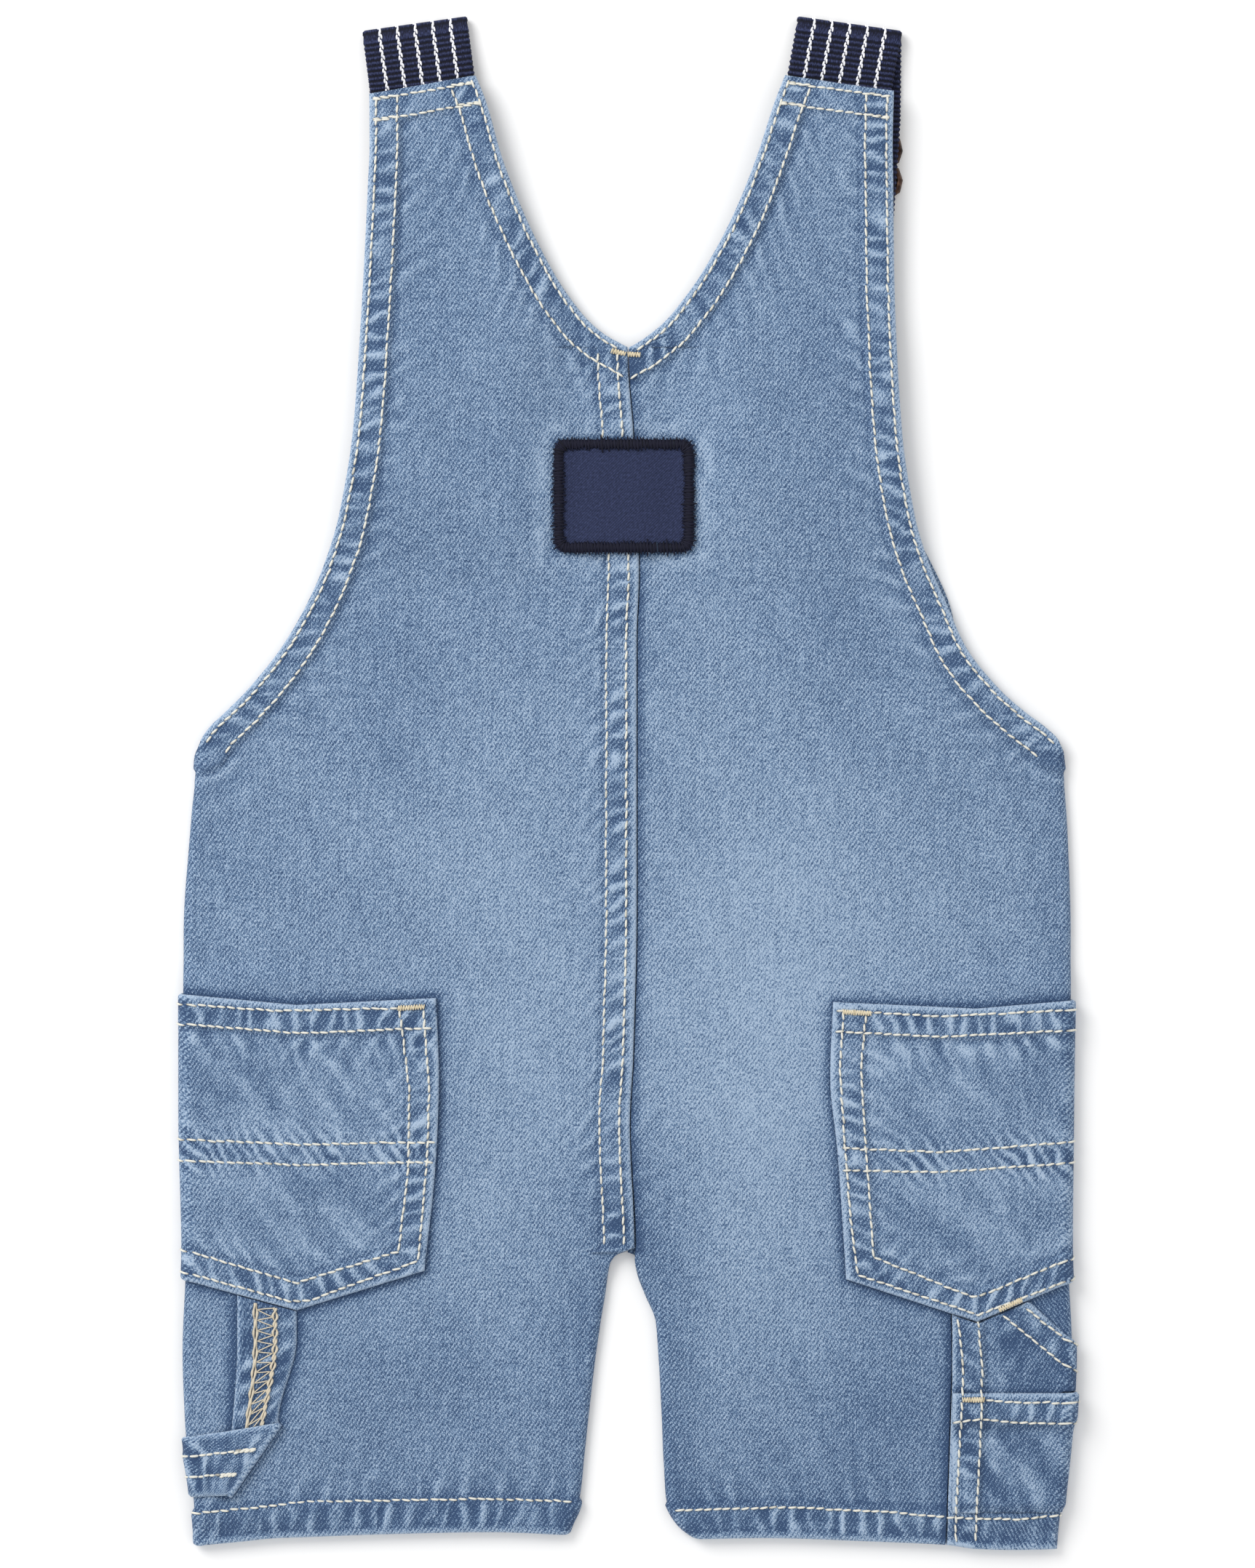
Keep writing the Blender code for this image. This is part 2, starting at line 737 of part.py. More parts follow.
def make_tool_pocket_upper(name, material):
    """The tool pocket's upper layer, whose slanted opening starts under the back pocket."""
    steps = [TOOL_START, *TOOL_LAP_END, 114.0, TOOL_TOP[2][0]]
    columns = len(steps) + len(TOOL_FOLD) - 1
    shares = (0.0, 0.3, 0.6, 0.86, 0.97, 1.0)

    def out_at(column, y):
        return (steps + [flat_outer(1, y) + step for step in TOOL_FOLD[1:]])[column]

    def place(column, row, outer):
        out = out_at(column, TOOL_MIDDLE_Y)
        past = out - flat_outer(1, TOOL_MIDDLE_Y)
        overlap = TOOL_OVERLAP * (1 - ramp(past, *TOOL_OVERLAP_ENDS))
        low = TOOL_MOUTH + GAP - overlap
        y = low + (tool_top(out) - low) * shares[row]
        out = out_at(column, y)
        return skin(1, 1, out, y, lap_rise(out, TOOL_MOUTH) + GAP + (WALL if outer else 0))

    return cloth(name, columns, len(shares), place, material)


def make_tool_pocket_lower(name, material):
    """The tool pocket's lower patch, which lies over the upper layer and runs into the hem."""
    starts = (TOOL_START, TOOL_START + EDGE_STEP, *TOOL_LAP_END, 115.0)
    columns = len(starts) + len(TOOL_FOLD)

    def place(column, row, outer):
        y = TOOL_ROWS[row]
        fold = flat_outer(1, y)
        out = starts[column] if column < len(starts) else fold + TOOL_FOLD[column - len(starts)]
        over = ramp(y, *TOOL_CLIMB) * (1 - ramp(out - fold, *TOOL_CLIMB_ENDS))
        base = lap_rise(out, y) + GAP + (WALL + GAP) * over
        hem = POCKET_BAND * band(TOOL_MOUTH - y, HEM_WIDTH) * before_fold(1, out, y)
        return skin(1, 1, out, y, base + (WALL + hem if outer else 0))

    return cloth(name, columns, len(TOOL_ROWS), place, material)


# The hammer loop's fold line: out distance and height at its inner and its outer end
LOOP_FOLD = ((105.4, -193.0), (120.6, -214.9))
LOOP_TOP = (99.9, 117.8)
LOOP_TURN_RADIUS = 0.9
LOOP_WAY = math.radians(9.3)
LOOP_DOWN = (1.0, 0.72, 0.48, 0.24, 0.06)
LOOP_TURN_STEPS = 5
# The run down is as wide as the fold is long only near the fold: above this share it narrows
LOOP_NARROWS = 0.75
# Out distances between which the side run comes down onto the back
LOOP_SETTLES = (121.5, 126.0)
LOOP_END_TURN = math.radians(85)
LOOP_ACROSS = (0.0, 0.2, 0.4, 0.6, 0.8, 1.0)
LOOP_ALONG = (0.12, 0.35, 0.55, 0.72, 0.79, 0.86, 0.93, 1.0)


def make_hammer_loop(name, material):
    """The loop hangs from the back pocket, turns over on a slanted fold and runs to the side."""
    side = -1
    bottom = straight(POCKET_ENDS[side], 2)
    fold_way = math.atan2(LOOP_FOLD[1][1] - LOOP_FOLD[0][1], LOOP_FOLD[1][0] - LOOP_FOLD[0][0])
    outward = (math.sin(fold_way), -math.cos(fold_way))
    low_middle = GAP + WALL / 2
    high_middle = low_middle + 2 * LOOP_TURN_RADIUS
    rows = len(LOOP_DOWN) + LOOP_TURN_STEPS + len(LOOP_ALONG)

    def place(column, row, outer):
        across = LOOP_ACROSS[column]
        fold_out = LOOP_FOLD[0][0] + across * (LOOP_FOLD[1][0] - LOOP_FOLD[0][0])
        fold_y = LOOP_FOLD[0][1] + across * (LOOP_FOLD[1][1] - LOOP_FOLD[0][1])
        half = WALL / 2 if outer else -WALL / 2
        if row < len(LOOP_DOWN):
            top_out = LOOP_TOP[0] + across * (LOOP_TOP[1] - LOOP_TOP[0])
            top_y = bottom(top_out) - GAP
            share = LOOP_DOWN[row]
            out = fold_out + (top_out - fold_out) * ramp(share, 0.0, LOOP_NARROWS)
            return skin(side, 1, out, fold_y + (top_y - fold_y) * share, low_middle + half)
        row -= len(LOOP_DOWN)
        if row < LOOP_TURN_STEPS:
            turn = math.pi * row / (LOOP_TURN_STEPS - 1)
            reach = (LOOP_TURN_RADIUS - half) * math.sin(turn)
            lift = low_middle + LOOP_TURN_RADIUS - (LOOP_TURN_RADIUS - half) * math.cos(turn)
            return skin(side, 1, fold_out + reach * outward[0], fold_y + reach * outward[1], lift)
        share = LOOP_ALONG[row - LOOP_TURN_STEPS]
        end = flat_outer(side, fold_y) + ARC_RADIUS * LOOP_END_TURN
        out = fold_out + (end - fold_out) * share
        y = fold_y - (out - fold_out) * math.tan(LOOP_WAY) * (1 - 0.5 * across)
        middle = high_middle + (low_middle - high_middle) * ramp(out, *LOOP_SETTLES)
        return skin(side, 1, out, y, middle - half)

    return cloth(name, len(LOOP_ACROSS), rows, place, material)


def make_patch(name, material):
    """A plain woven patch, sewn across the centre seam and bent over its raised lap."""
    half_x = PATCH_SIZE[0] / 2
    half_y = PATCH_SIZE[1] / 2
    borders = (0.0, EDGE_STEP, PATCH_BORDER)
    across = [border - half_x for border in borders]
    across += [edge - PATCH_CENTRE[0] for edge in PATCH_LAP]
    across += [half_x - border for border in reversed(borders)]
    up = [border - half_y for border in borders]
    up += spread(PATCH_BORDER - half_y, half_y - PATCH_BORDER, 2)
    up += [half_y - border for border in reversed(borders)]

    def place(column, row, outer):
        from_side = half_x - abs(across[column])
        from_end = half_y - abs(up[row])
        cut = PATCH_CORNER * max(1 - from_side / PATCH_BORDER, 0) * max(1 - from_end / PATCH_BORDER, 0)
        x = PATCH_CENTRE[0] + across[column] - math.copysign(cut, across[column])
        y = PATCH_CENTRE[1] + up[row] - math.copysign(cut, up[row])
        on_lap = ramp(x, PATCH_LAP[0], PATCH_LAP[1]) * (1 - ramp(x, PATCH_LAP[2], PATCH_LAP[3]))
        lift = GAP + (BAND + PATCH_LAP_ROOM) * on_lap
        if outer:
            border = 1 - ramp(min(from_side, from_end), PATCH_BORDER - EDGE_STEP, PATCH_BORDER)
            lift += PATCH_WALL + PATCH_EDGE * border
        return flat_point(1 if x > 0 else -1, 1, abs(x), y, lift)

    return cloth(name, len(across), len(up), place, material)


def strap_stations(side):
    """Middle points of a strap from the buckle up, over its fold and down under the shoulder.

    Each station is the centre's X, Y and Z, then the webbing's way along Y and Z.
    """
    radius = (STRAP_BACK[0][1] - STRAP_FRONT[-1][1]) / 2
    axis = (STRAP_FRONT[-1][0] + STRAP_FOLD_REACH, STRAP_FRONT[-1][1] + radius)
    path = [(y, z, strap_line[side](y)) for y, z in STRAP_FRONT]
    for step in range(STRAP_FOLD_STEPS + 1):
        turn = math.pi * (step / STRAP_FOLD_STEPS - 0.5)
        y = axis[0] + radius * math.cos(turn)
        path.append((y, axis[1] + radius * math.sin(turn), strap_line[side](y)))
    path += [(y, z, strap_back_line[side](y)) for y, z in STRAP_BACK]
    stations = []
    for k, (y, z, out) in enumerate(path):
        before = path[max(k - 1, 0)]
        after = path[min(k + 1, len(path) - 1)]
        along = math.hypot(after[0] - before[0], after[1] - before[1])
        way = ((after[0] - before[0]) / along, (after[1] - before[1]) / along)
        stations.append((side * out, y, z, way))
    return stations


def make_strap(side, name, material):
    """A webbing strap: from its buckle over the fold at the shoulder to where it is sewn in."""
    stations = strap_stations(side)
    across = (-0.5, 0.0, 0.5)

    def place(column, row, outer):
        x, y, z, way = stations[row]
        tilt = -side * STRAP_TILT * (STRAP_TILT_LOW + (1 - STRAP_TILT_LOW) * ramp(y, *STRAP_TILT_RISE))
        width = across[column] * WEBBING_WIDTH
        half = -WEBBING_WALL / 2 if outer else WEBBING_WALL / 2
        return (
            x + width * math.cos(tilt),
            y + width * math.sin(tilt) - half * way[1],
            z + half * way[0],
        )

    return cloth(name, len(across), len(stations), place, material)


def mirrored(points):
    """A closed outline from its right half, given from the top middle to the bottom middle."""
    left = [(-x, y) for x, y in reversed(points) if x > 0]
    return list(points) + left


def wire_mesh(name, points, closed):
    """A wire along points, as a mesh that a Boolean can take."""
    data = bpy.data.curves.new(name, "CURVE")
    data.dimensions = "3D"
    spline = data.splines.new("POLY")
    spline.points.add(len(points) - 1)
    for point, place in zip(spline.points, points):
        point.co = (*[value * MM for value in place], 1)
    spline.use_cyclic_u = closed
    data.bevel_depth = WIRE_RADIUS * MM
    data.bevel_resolution = 1
    data.use_fill_caps = not closed
    curve = bpy.data.objects.new(name + "_path", data)
    garment.objects.link(curve)
    bpy.context.view_layer.update()
    graph = bpy.context.evaluated_depsgraph_get()
    mesh = bpy.data.meshes.new_from_object(curve.evaluated_get(graph))
    bpy.data.objects.remove(curve, do_unlink=True)
    bm = bmesh.new()
    bm.from_mesh(mesh)
    bmesh.ops.remove_doubles(bm, verts=bm.verts, dist=1e-6)
    bmesh.ops.recalc_face_normals(bm, faces=bm.faces)
    bm.to_mesh(mesh)
    bm.free()
    mesh.name = name
    mesh.shade_smooth()
    return mesh


def make_slider(side, name, material):
    """A bent wire slider: two lobes at each side and a bar across its waist, under the strap."""
    centre = side * strap_line[side](SLIDER_Y)
    upper = [(x * SLIDER_HALF[0], y * SLIDER_HALF[1]) for x, y in SLIDER_QUARTER]
    lower = [(x, -y) for x, y in reversed(upper) if y > 0]
    loop = [(centre + x, SLIDER_Y + y, WIRE_RADIUS) for x, y in mirrored(upper + lower)]
    mesh = wire_mesh(name, loop, True)
    mesh.materials.append(material)
    obj = bpy.data.objects.new(name, mesh)
    garment.objects.link(obj)
    waist = SLIDER_QUARTER[-1][0] * SLIDER_HALF[0]
    ends = [(centre + end * waist, SLIDER_Y, WIRE_RADIUS) for end in (-1, 1)]
    bar = bpy.data.objects.new(name + "_bar", wire_mesh(name + "_bar", ends, False))
    cutters.objects.link(bar)
    bar.hide_render = True
    bar.display_type = "WIRE"
    union = obj.modifiers.new("bar", "BOOLEAN")
    union.operation = "UNION"
    union.object = bar
    return obj


def make_buckle(side, name, material):
    """A wire buckle: its bar carries the strap's end and its ring hooks round the bib button."""
    centre = side * strap_line[side](BUCKLE_BAR_Y)
    ring = []
    for step in range(BUCKLE_RING_STEPS):
        turn = BUCKLE_RING_START - (BUCKLE_RING_START + math.pi / 2) * step / BUCKLE_RING_STEPS
        ring.append((BUCKLE_RING * math.cos(turn), BUCKLE_RING * math.sin(turn)))
    half = list(BUCKLE_HALF) + ring + [(0.0, -BUCKLE_RING)]
    points = [(centre + x, BUTTON_Y + y, BUCKLE_Z) for x, y in mirrored(half)]
    mesh = wire_mesh(name, points, True)
    mesh.materials.append(material)
    obj = bpy.data.objects.new(name, mesh)
    garment.objects.link(obj)
    return obj


def make_button(side, name, material):
    """A bib button turned in one piece: its head lies on the table and its shank is up."""
    head, thick = BUTTON_HEAD
    shank, height = BUTTON_SHANK
    profile = [(0, height), (shank, height), (shank, thick), (head - BUTTON_RIM, thick)]
    profile += [(head, thick - BUTTON_RIM), (head, BUTTON_RIM), (head - BUTTON_RIM, 0), (0, 0)]
    mesh = bpy.data.meshes.new(name)
    points = [(x * MM, 0, z * MM) for x, z in profile]
    mesh.from_pydata(points, [(k, k + 1) for k in range(len(points) - 1)], [])
    mesh.materials.append(material)
    obj = bpy.data.objects.new(name, mesh)
    obj.location = (side * strap_line[side](BUCKLE_BAR_Y) * MM, BUTTON_Y * MM, 0)
    garment.objects.link(obj)
    turned = obj.modifiers.new("turned", "SCREW")
    turned.steps = BUTTON_SIDES
    turned.render_steps = BUTTON_SIDES
    turned.use_merge_vertices = True
    turned.merge_threshold = 0.00001
    return obj


def plain_material(name, colour, roughness, metallic):
    """A Principled material of one colour."""
    material = bpy.data.materials.new(name)
    material.use_nodes = True
    shader = material.node_tree.nodes["Principled BSDF"]
    shader.inputs["Base Color"].default_value = (*colour, 1)
    shader.inputs["Roughness"].default_value = roughness
    shader.inputs["Metallic"].default_value = metallic
    material.diffuse_color = (*colour, 1)
    return material


for old in list(bpy.data.objects):
    bpy.data.objects.remove(old, do_unlink=True)
garment = bpy.data.collections.new("short_overalls")
bpy.context.scene.collection.children.link(garment)
cutters = bpy.data.collections.new("cutters")
bpy.context.scene.collection.children.link(cutters)



def denim(name):
    return plain_material(name + "_denim", DENIM, 0.85, 0.0)


def webbing(name):
    return plain_material(name + "_webbing", NAVY, 0.8, 0.0)


def bronze(name):
    return plain_material(name + "_bronze", BRONZE, 0.4, 1.0)


SIDE_NAMES = {-1: "left", 1: "right"}
# Columns: what makes a piece on each side, its name and its material
PAIRS = (
    (make_back, "back", denim),
    (make_front, "front", denim),
    (make_back_pocket, "back_pocket", denim),
    (make_strap, "strap", webbing),
    (make_slider, "slider", bronze),
    (make_buckle, "buckle", bronze),
    (make_button, "button", bronze),
)
for make, piece, finish in PAIRS:
    for side, word in SIDE_NAMES.items():
        make(side, f"{piece}_{word}", finish(f"{piece}_{word}"))
make_bib("bib", denim("bib"))
make_tool_pocket_upper("tool_pocket_upper", denim("tool_pocket_upper"))
make_tool_pocket_lower("tool_pocket_lower", denim("tool_pocket_lower"))
make_hammer_loop("hammer_loop", denim("hammer_loop"))
make_patch("label_patch", plain_material("label_patch_twill", NAVY, 0.8, 0.0))
for obj in [*garment.objects, *cutters.objects]:
    obj.location.x -= OUTLINE_MIDDLE[0] * MM
    obj.location.y -= OUTLINE_MIDDLE[1] * MM
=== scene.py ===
# %% [markdown]
# Denim short overalls, laid out flat with the back up.
#
# This lesson dresses a set of plain solids as a real garment. Each piece of cloth is a grid of
# points that follows the solid it stands for, raised by its turned hems and by the small puckers
# that sewing and washing leave beside a seam. Colour follows the same puckers, because denim
# fades where it stands proud, and it also carries painted shading of the puckers and painted
# shade beside raised edges.

# %% Load the solids
import math

import bpy
import numpy as np
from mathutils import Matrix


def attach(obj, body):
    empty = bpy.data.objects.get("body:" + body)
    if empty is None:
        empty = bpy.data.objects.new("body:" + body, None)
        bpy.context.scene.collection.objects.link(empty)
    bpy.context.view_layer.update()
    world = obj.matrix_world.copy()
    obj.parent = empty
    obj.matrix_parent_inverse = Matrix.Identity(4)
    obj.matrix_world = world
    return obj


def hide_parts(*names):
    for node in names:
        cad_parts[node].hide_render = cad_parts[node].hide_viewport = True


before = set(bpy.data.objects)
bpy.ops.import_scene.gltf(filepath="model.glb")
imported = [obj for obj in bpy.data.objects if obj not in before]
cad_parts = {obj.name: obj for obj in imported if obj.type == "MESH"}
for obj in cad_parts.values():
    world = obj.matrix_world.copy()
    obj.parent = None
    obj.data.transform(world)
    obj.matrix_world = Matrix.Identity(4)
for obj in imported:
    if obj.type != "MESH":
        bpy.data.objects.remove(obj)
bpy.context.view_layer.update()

# %% [markdown]
# The photograph looks straight down on the garment. A long lens far away keeps the hems parallel,
# so the camera hangs 1.6 m up and its lens is worked out from the length of table that it sees.

# %% Camera
MM = 0.001
PHOTO_SIZE = (1725, 2156)
MM_PER_PIXEL = 0.22
# The middle of the finished outline, which the solids have at their origin
OUTLINE_MIDDLE = (0.35, 0.25)
CAMERA_AIM = (0.11, -0.11)
CAMERA_HEIGHT = 1600.0
CLOTH_HEIGHT = 4.0
SENSOR = 36.0
CLIP_END_M = 20.0

camera_data = bpy.data.cameras.new("camera")
camera_data.sensor_width = SENSOR
camera_data.lens = SENSOR * CAMERA_HEIGHT / (PHOTO_SIZE[1] * MM_PER_PIXEL)
camera_data.clip_end = CLIP_END_M
camera = bpy.data.objects.new("camera", camera_data)
camera.location = (
    (CAMERA_AIM[0] - OUTLINE_MIDDLE[0]) * MM,
    (CAMERA_AIM[1] - OUTLINE_MIDDLE[1]) * MM,
    (CAMERA_HEIGHT + CLOTH_HEIGHT) * MM,
)
bpy.context.scene.collection.objects.link(camera)
bpy.context.scene.camera = camera
print("lens:", round(camera_data.lens, 1), "mm")

# %% [markdown]
# The garment was cut and sewn from flat pieces, so every place on it has two numbers: how far out
# it is from the centre seam, measured along the cloth, and its height up the garment. These tables
# give the outlines in those numbers, in millimetres, for the viewer's left and right.

# %% Sizes of the cloth, its seams and its folds
WALL = 1.2
GAP = 0.3
BAND = 1.0
POCKET_BAND = 0.7
HEM_WIDTH = 9.6
LEG_HEM = 10.8
EDGE_STEP = 0.8
FOLD_OUT = 2.5
STACK = 3.4
HALF_STACK = STACK / 2
ARC_RADIUS = (FOLD_OUT + HALF_STACK) / 2
HALF_TURN = math.pi * ARC_RADIUS
UNDER_TURN = 6.0
SEAM_TURN = math.radians(60)
RISE_REACH = {-1: (22.0, 14.0), 1: (62.0, 6.0)}
STRAP_RISE_REACH = (12.0, 38.0)
UNDERARM = 12.7
CROTCH = -142.0
V_POINT = 131.9
HEM_Y = -228.0
SHOULDER_Y = 211.0
SIDES = {-1: "left", 1: "right"}

# %% Outlines
# Height, then the cloth's outer edge on the left and on the right
OUTER_EDGE = (
    (-231.0, 130.4, 130.2),
    (-216.0, 131.2, 131.4),
    (-205.0, 132.7, 132.6),
    (-194.0, 133.7, 133.6),
    (-172.0, 134.5, 134.6),
    (-141.0, 133.4, 133.4),
    (-100.0, 134.3, 133.8),
    (-45.0, 134.3, 134.3),
    (-18.0, 132.6, 133.5),
    (8.3, 129.9, 131.5),
    (12.7, 129.1, 130.7),
    (17.1, 126.3, 126.5),
    (21.5, 121.7, 120.6),
    (28.1, 115.1, 113.1),
    (41.3, 104.5, 102.5),
    (54.5, 96.8, 96.6),
    (67.7, 91.1, 90.9),
    (80.9, 87.1, 86.9),
    (107.3, 82.7, 82.9),
    (149.0, 79.9, 80.8),
    (182.0, 78.2, 80.3),
    (193.0, 77.7, 80.1),
    (209.0, 77.8, 80.5),
)
# Height, then the inner edge on the left and right: inner leg, centre seam, neck
INNER_EDGE = (
    (-229.0, 19.0, 21.6),
    (-225.0, 17.4, 16.5),
    (-220.6, 15.6, 13.4),
    (-216.0, 14.3, 11.7),
    (-203.0, 12.9, 11.0),
    (-176.0, 10.0, 9.9),
    (-163.4, 8.1, 8.8),
    (-154.6, 6.6, 5.3),
    (-148.0, 5.7, 2.9),
    (-144.2, 4.8, 2.3),
    (-141.6, 1.3, 2.5),
    (-140.7, -2.2, 2.7),
    (-103.0, -0.8, 1.1),
    (-83.0, -1.8, 2.1),
    (-36.0, -2.9, 3.2),
    (43.5, -2.9, 3.2),
    (64.0, -3.6, 3.9),
    (107.0, -1.8, 2.1),
    (123.0, -0.5, 0.8),
    (131.9, -0.2, 0.5),
    (132.6, 0.9, 1.8),
    (135.9, 6.8, 6.8),
    (140.3, 11.9, 11.9),
    (144.7, 15.6, 15.6),
    (153.5, 21.6, 22.0),
    (171.1, 30.6, 31.7),
    (188.7, 37.6, 38.9),
    (206.3, 42.7, 44.7),
    (214.0, 45.8, 47.7),
)
# Out distance, then the bottom of the leg on the left and on the right
LEG_END = (
    (18.5, -227.4, -228.7),
    (41.0, -226.5, -228.3),
    (76.0, -227.2, -229.4),
    (97.0, -228.0, -230.4),
    (106.0, -228.3, -231.6),
    (117.0, -229.4, -231.9),
    (131.0, -230.7, -231.6),
)
# Out distance, then the shoulder's top on the left and on the right
SHOULDER_END = ((45.8, 213.7, 214.0), (80.0, 207.9, 209.2))
# Height, then how far the pocket layers under the side lift it, left and right
UNDER_RISE = ((-227.0, 0.0, 0.0), (-220.8, 1.5, 1.5), (-61.0, 1.5, 1.5), (-54.0, 0.0, 0.0))
# Height, then how far the straps and their hardware lift the upper back
STRAP_RISE = (
    (60.0, 0.0),
    (98.0, 3.6),
    (125.0, 3.6),
    (150.0, 2.4),
    (172.0, 2.8),
    (196.0, 4.1),
    (214.0, 3.8),
)
# Height, then the bib's half width on the left and on the right
BIB_EDGE = (
    (12.2, 128.0, 129.0),
    (21.5, 119.5, 118.5),
    (28.1, 112.5, 111.0),
    (41.3, 101.5, 101.0),
    (54.5, 94.5, 97.6),
    (67.7, 88.5, 91.6),
    (80.9, 84.0, 84.5),
    (122.0, 77.0, 77.5),
)
# Height, then the right outseam's out distance, from the side fold to the hem
OUTSEAM = (
    (-232.0, 96.2),
    (-175.0, 98.2),
    (-160.0, 97.9),
    (-72.0, 128.5),
    (-69.0, 131.4),
    (-66.5, 134.4),
)
# Height, then the back pocket's inner edge on the left and on the right
POCKET_SIDE = (
    (-150.0, 61.7, 66.3),
    (-111.0, 57.7, 63.6),
    (-89.0, 56.9, 61.4),
    (-65.0, 57.8, 62.3),
)
# Out distance, then the pocket's top and bottom
POCKET_ENDS = {
    -1: ((57.0, -64.8, -146.0), (99.9, -66.9, -159.2), (134.7, -63.6, -149.7), (150.0, -62.0, -145.5)),
    1: ((61.0, -66.0, -148.2), (105.6, -68.0, -162.7), (134.5, -65.5, -150.4), (150.0, -64.0, -144.0)),
}
# Out distance, then the top of the tool pocket's upper layer, with its slanted opening
TOOL_TOP = ((98.0, -160.6), (106.1, -163.2), (121.4, -156.4), (134.6, -168.6), (146.0, -179.0))
# The slanted crease where the hammer loop turns over, and its two edges under the pocket
LOOP_FOLD = ((105.4, -193.0), (120.6, -214.9))
LOOP_TOP = (99.9, 117.8)
LOOP_NARROWS = 0.75
PATCH_CENTRE = (-1.0, 87.0)
PATCH_SIZE = (42.0, 34.0)

# %% [markdown]
# Two kinds of curve run through those tables: a smooth one that never swings past its values, and
# a straight one. The same formulas place the solids, so the cloth built here fits them with no
# adjusting.

# %% Curves through the tables
def ramp(value, start, end):
    """0 before start, 1 after end, and a smooth step between them."""
    t = np.clip((value - start) / (end - start), 0.0, 1.0)
    return t * t * (3 - 2 * t)


def bell(value, width):
    """1 where the value is 0, falling off on both sides within about this width."""
    return np.exp(-((value / width) ** 2))


def trail(value, width):
    """1 up to where the value is 0, then dying away over this width."""
    return np.exp(-np.maximum(value, 0) / width)


def straight(table, column):
    keys = [row[0] for row in table]
    values = [row[column] for row in table]
    return lambda key: np.interp(key, keys, values)


def smooth(table, column):
    keys = np.array([row[0] for row in table])
    values = np.array([row[column] for row in table])
    steps = np.diff(keys)
    slopes = np.diff(values) / steps
    product = slopes[:-1] * slopes[1:]
    total = slopes[:-1] + slopes[1:]
    middle = np.where(product > 0, 2 * product / np.where(product > 0, total, 1), 0)
    tangents = np.concatenate([slopes[:1], middle, slopes[-1:]])

    def value(key):
        key = np.clip(key, keys[0], keys[-1])
        k = np.clip(np.searchsorted(keys, key, side="right") - 1, 0, len(steps) - 1)
        t = (key - keys[k]) / steps[k]
        ends = (1 + 2 * t) * (1 - t) ** 2 * values[k] + t * t * (3 - 2 * t) * values[k + 1]
        turns = t * (1 - t) ** 2 * tangents[k] + t * t * (t - 1) * tangents[k + 1]
        return ends + steps[k] * turns

    return value


def by_side(table, kind=smooth):
    return {-1: kind(table, 1), 1: kind(table, 2)}


outer_edge = by_side(OUTER_EDGE)
inner_edge = by_side(INNER_EDGE)
leg_end = by_side(LEG_END)
shoulder_end = by_side(SHOULDER_END, straight)
under_rise = by_side(UNDER_RISE)
bib_edge = by_side(BIB_EDGE)
strap_rise = smooth(STRAP_RISE, 1)
outseam = straight(OUTSEAM, 1)
OUTSEAM_TOP = OUTSEAM[-1][0] + 0.5
pocket_side = by_side(POCKET_SIDE)
pocket_top = {side: straight(ends, 1) for side, ends in POCKET_ENDS.items()}
pocket_bottom = {side: straight(ends, 2) for side, ends in POCKET_ENDS.items()}
tool_top = straight(TOOL_TOP, 1)

# %% [markdown]
# A laid garment is two faces, back over front, that meet in soft folds at the sides and inner
# legs. `skin` turns the two numbers of a place into a point in space: flat on a face, round a
# fold, or on past it. Whatever lies on the cloth, a pocket or a thread, is the same place raised
# a little more, so it follows every rise below it.

# %% From places on the cloth to points in space
def outer_turn(y):
    return math.pi / 2 * (1 - ramp(y, 6.0, UNDERARM))


def inner_turn(y):
    return math.pi / 2 * (1 - ramp(y, CROTCH - 10.0, CROTCH))


def flat_outer(side, y):
    return outer_edge[side](y) - FOLD_OUT * np.sin(outer_turn(y))


def flat_inner(side, y):
    return inner_edge[side](y) + FOLD_OUT * np.sin(inner_turn(y))


def face_height(side, face, out, y):
    fold = flat_outer(side, y)
    near_fold, at_fold = RISE_REACH[face]
    side_rise = under_rise[side](y) * ramp(out, fold - near_fold, fold - at_fold)
    top_rise = strap_rise(y) * ramp(out, *STRAP_RISE_REACH)
    return side_rise + top_rise + (STACK if face > 0 else 0)


def skin(side, face, out, y, lift):
    """Points on one face of the garment, raised by lift: 1 is the back, on top, -1 the front."""
    out, y, lift = np.broadcast_arrays(np.asarray(out, float), y, lift)
    outer = flat_outer(side, y)
    inner = flat_inner(side, y)
    turn = np.clip((out - outer) / ARC_RADIUS, 0, math.pi)
    past = out - outer >= HALF_TURN
    place = np.where(past, 2 * outer + HALF_TURN - out, out)
    high = face_height(side, face, place, y) + face * lift
    under = face_height(side, -face, place, y) - face * lift
    height = np.where(past, under, high)
    middle = face_height(side, -1, outer, y) + HALF_STACK
    on_fold = (turn > 0) & ~past
    place = np.where(on_fold, outer + (FOLD_OUT + lift) * np.sin(turn), place)
    height = np.where(on_fold, middle + face * (HALF_STACK + lift) * np.cos(turn), height)
    turn = np.clip((inner - out) / ARC_RADIUS, 0, math.pi)
    middle = face_height(side, -1, inner, y) + HALF_STACK
    on_fold = (turn > 0) & (y < CROTCH)
    place = np.where(on_fold, inner - (FOLD_OUT + lift) * np.sin(turn), place)
    height = np.where(on_fold, middle + face * (HALF_STACK + lift) * np.cos(turn), height)
    return np.stack([side * place, y, height], axis=-1)


def kept_to_face(points, side, face, start, y):
    """Points held back from the seam in the middle of a fold, by half of the gap."""
    middle = face_height(side, -1, start, y) + HALF_STACK
    points[..., 2] = middle + face * np.maximum(face * (points[..., 2] - middle), GAP / 2)
    return points


# %% [markdown]
# Seams need two measures at any place: how far it is from the seam's line, and how far along the
# line that is. One function gives both.

# %% Distances from a seam
TINY = 1e-9
FAR = 99.0


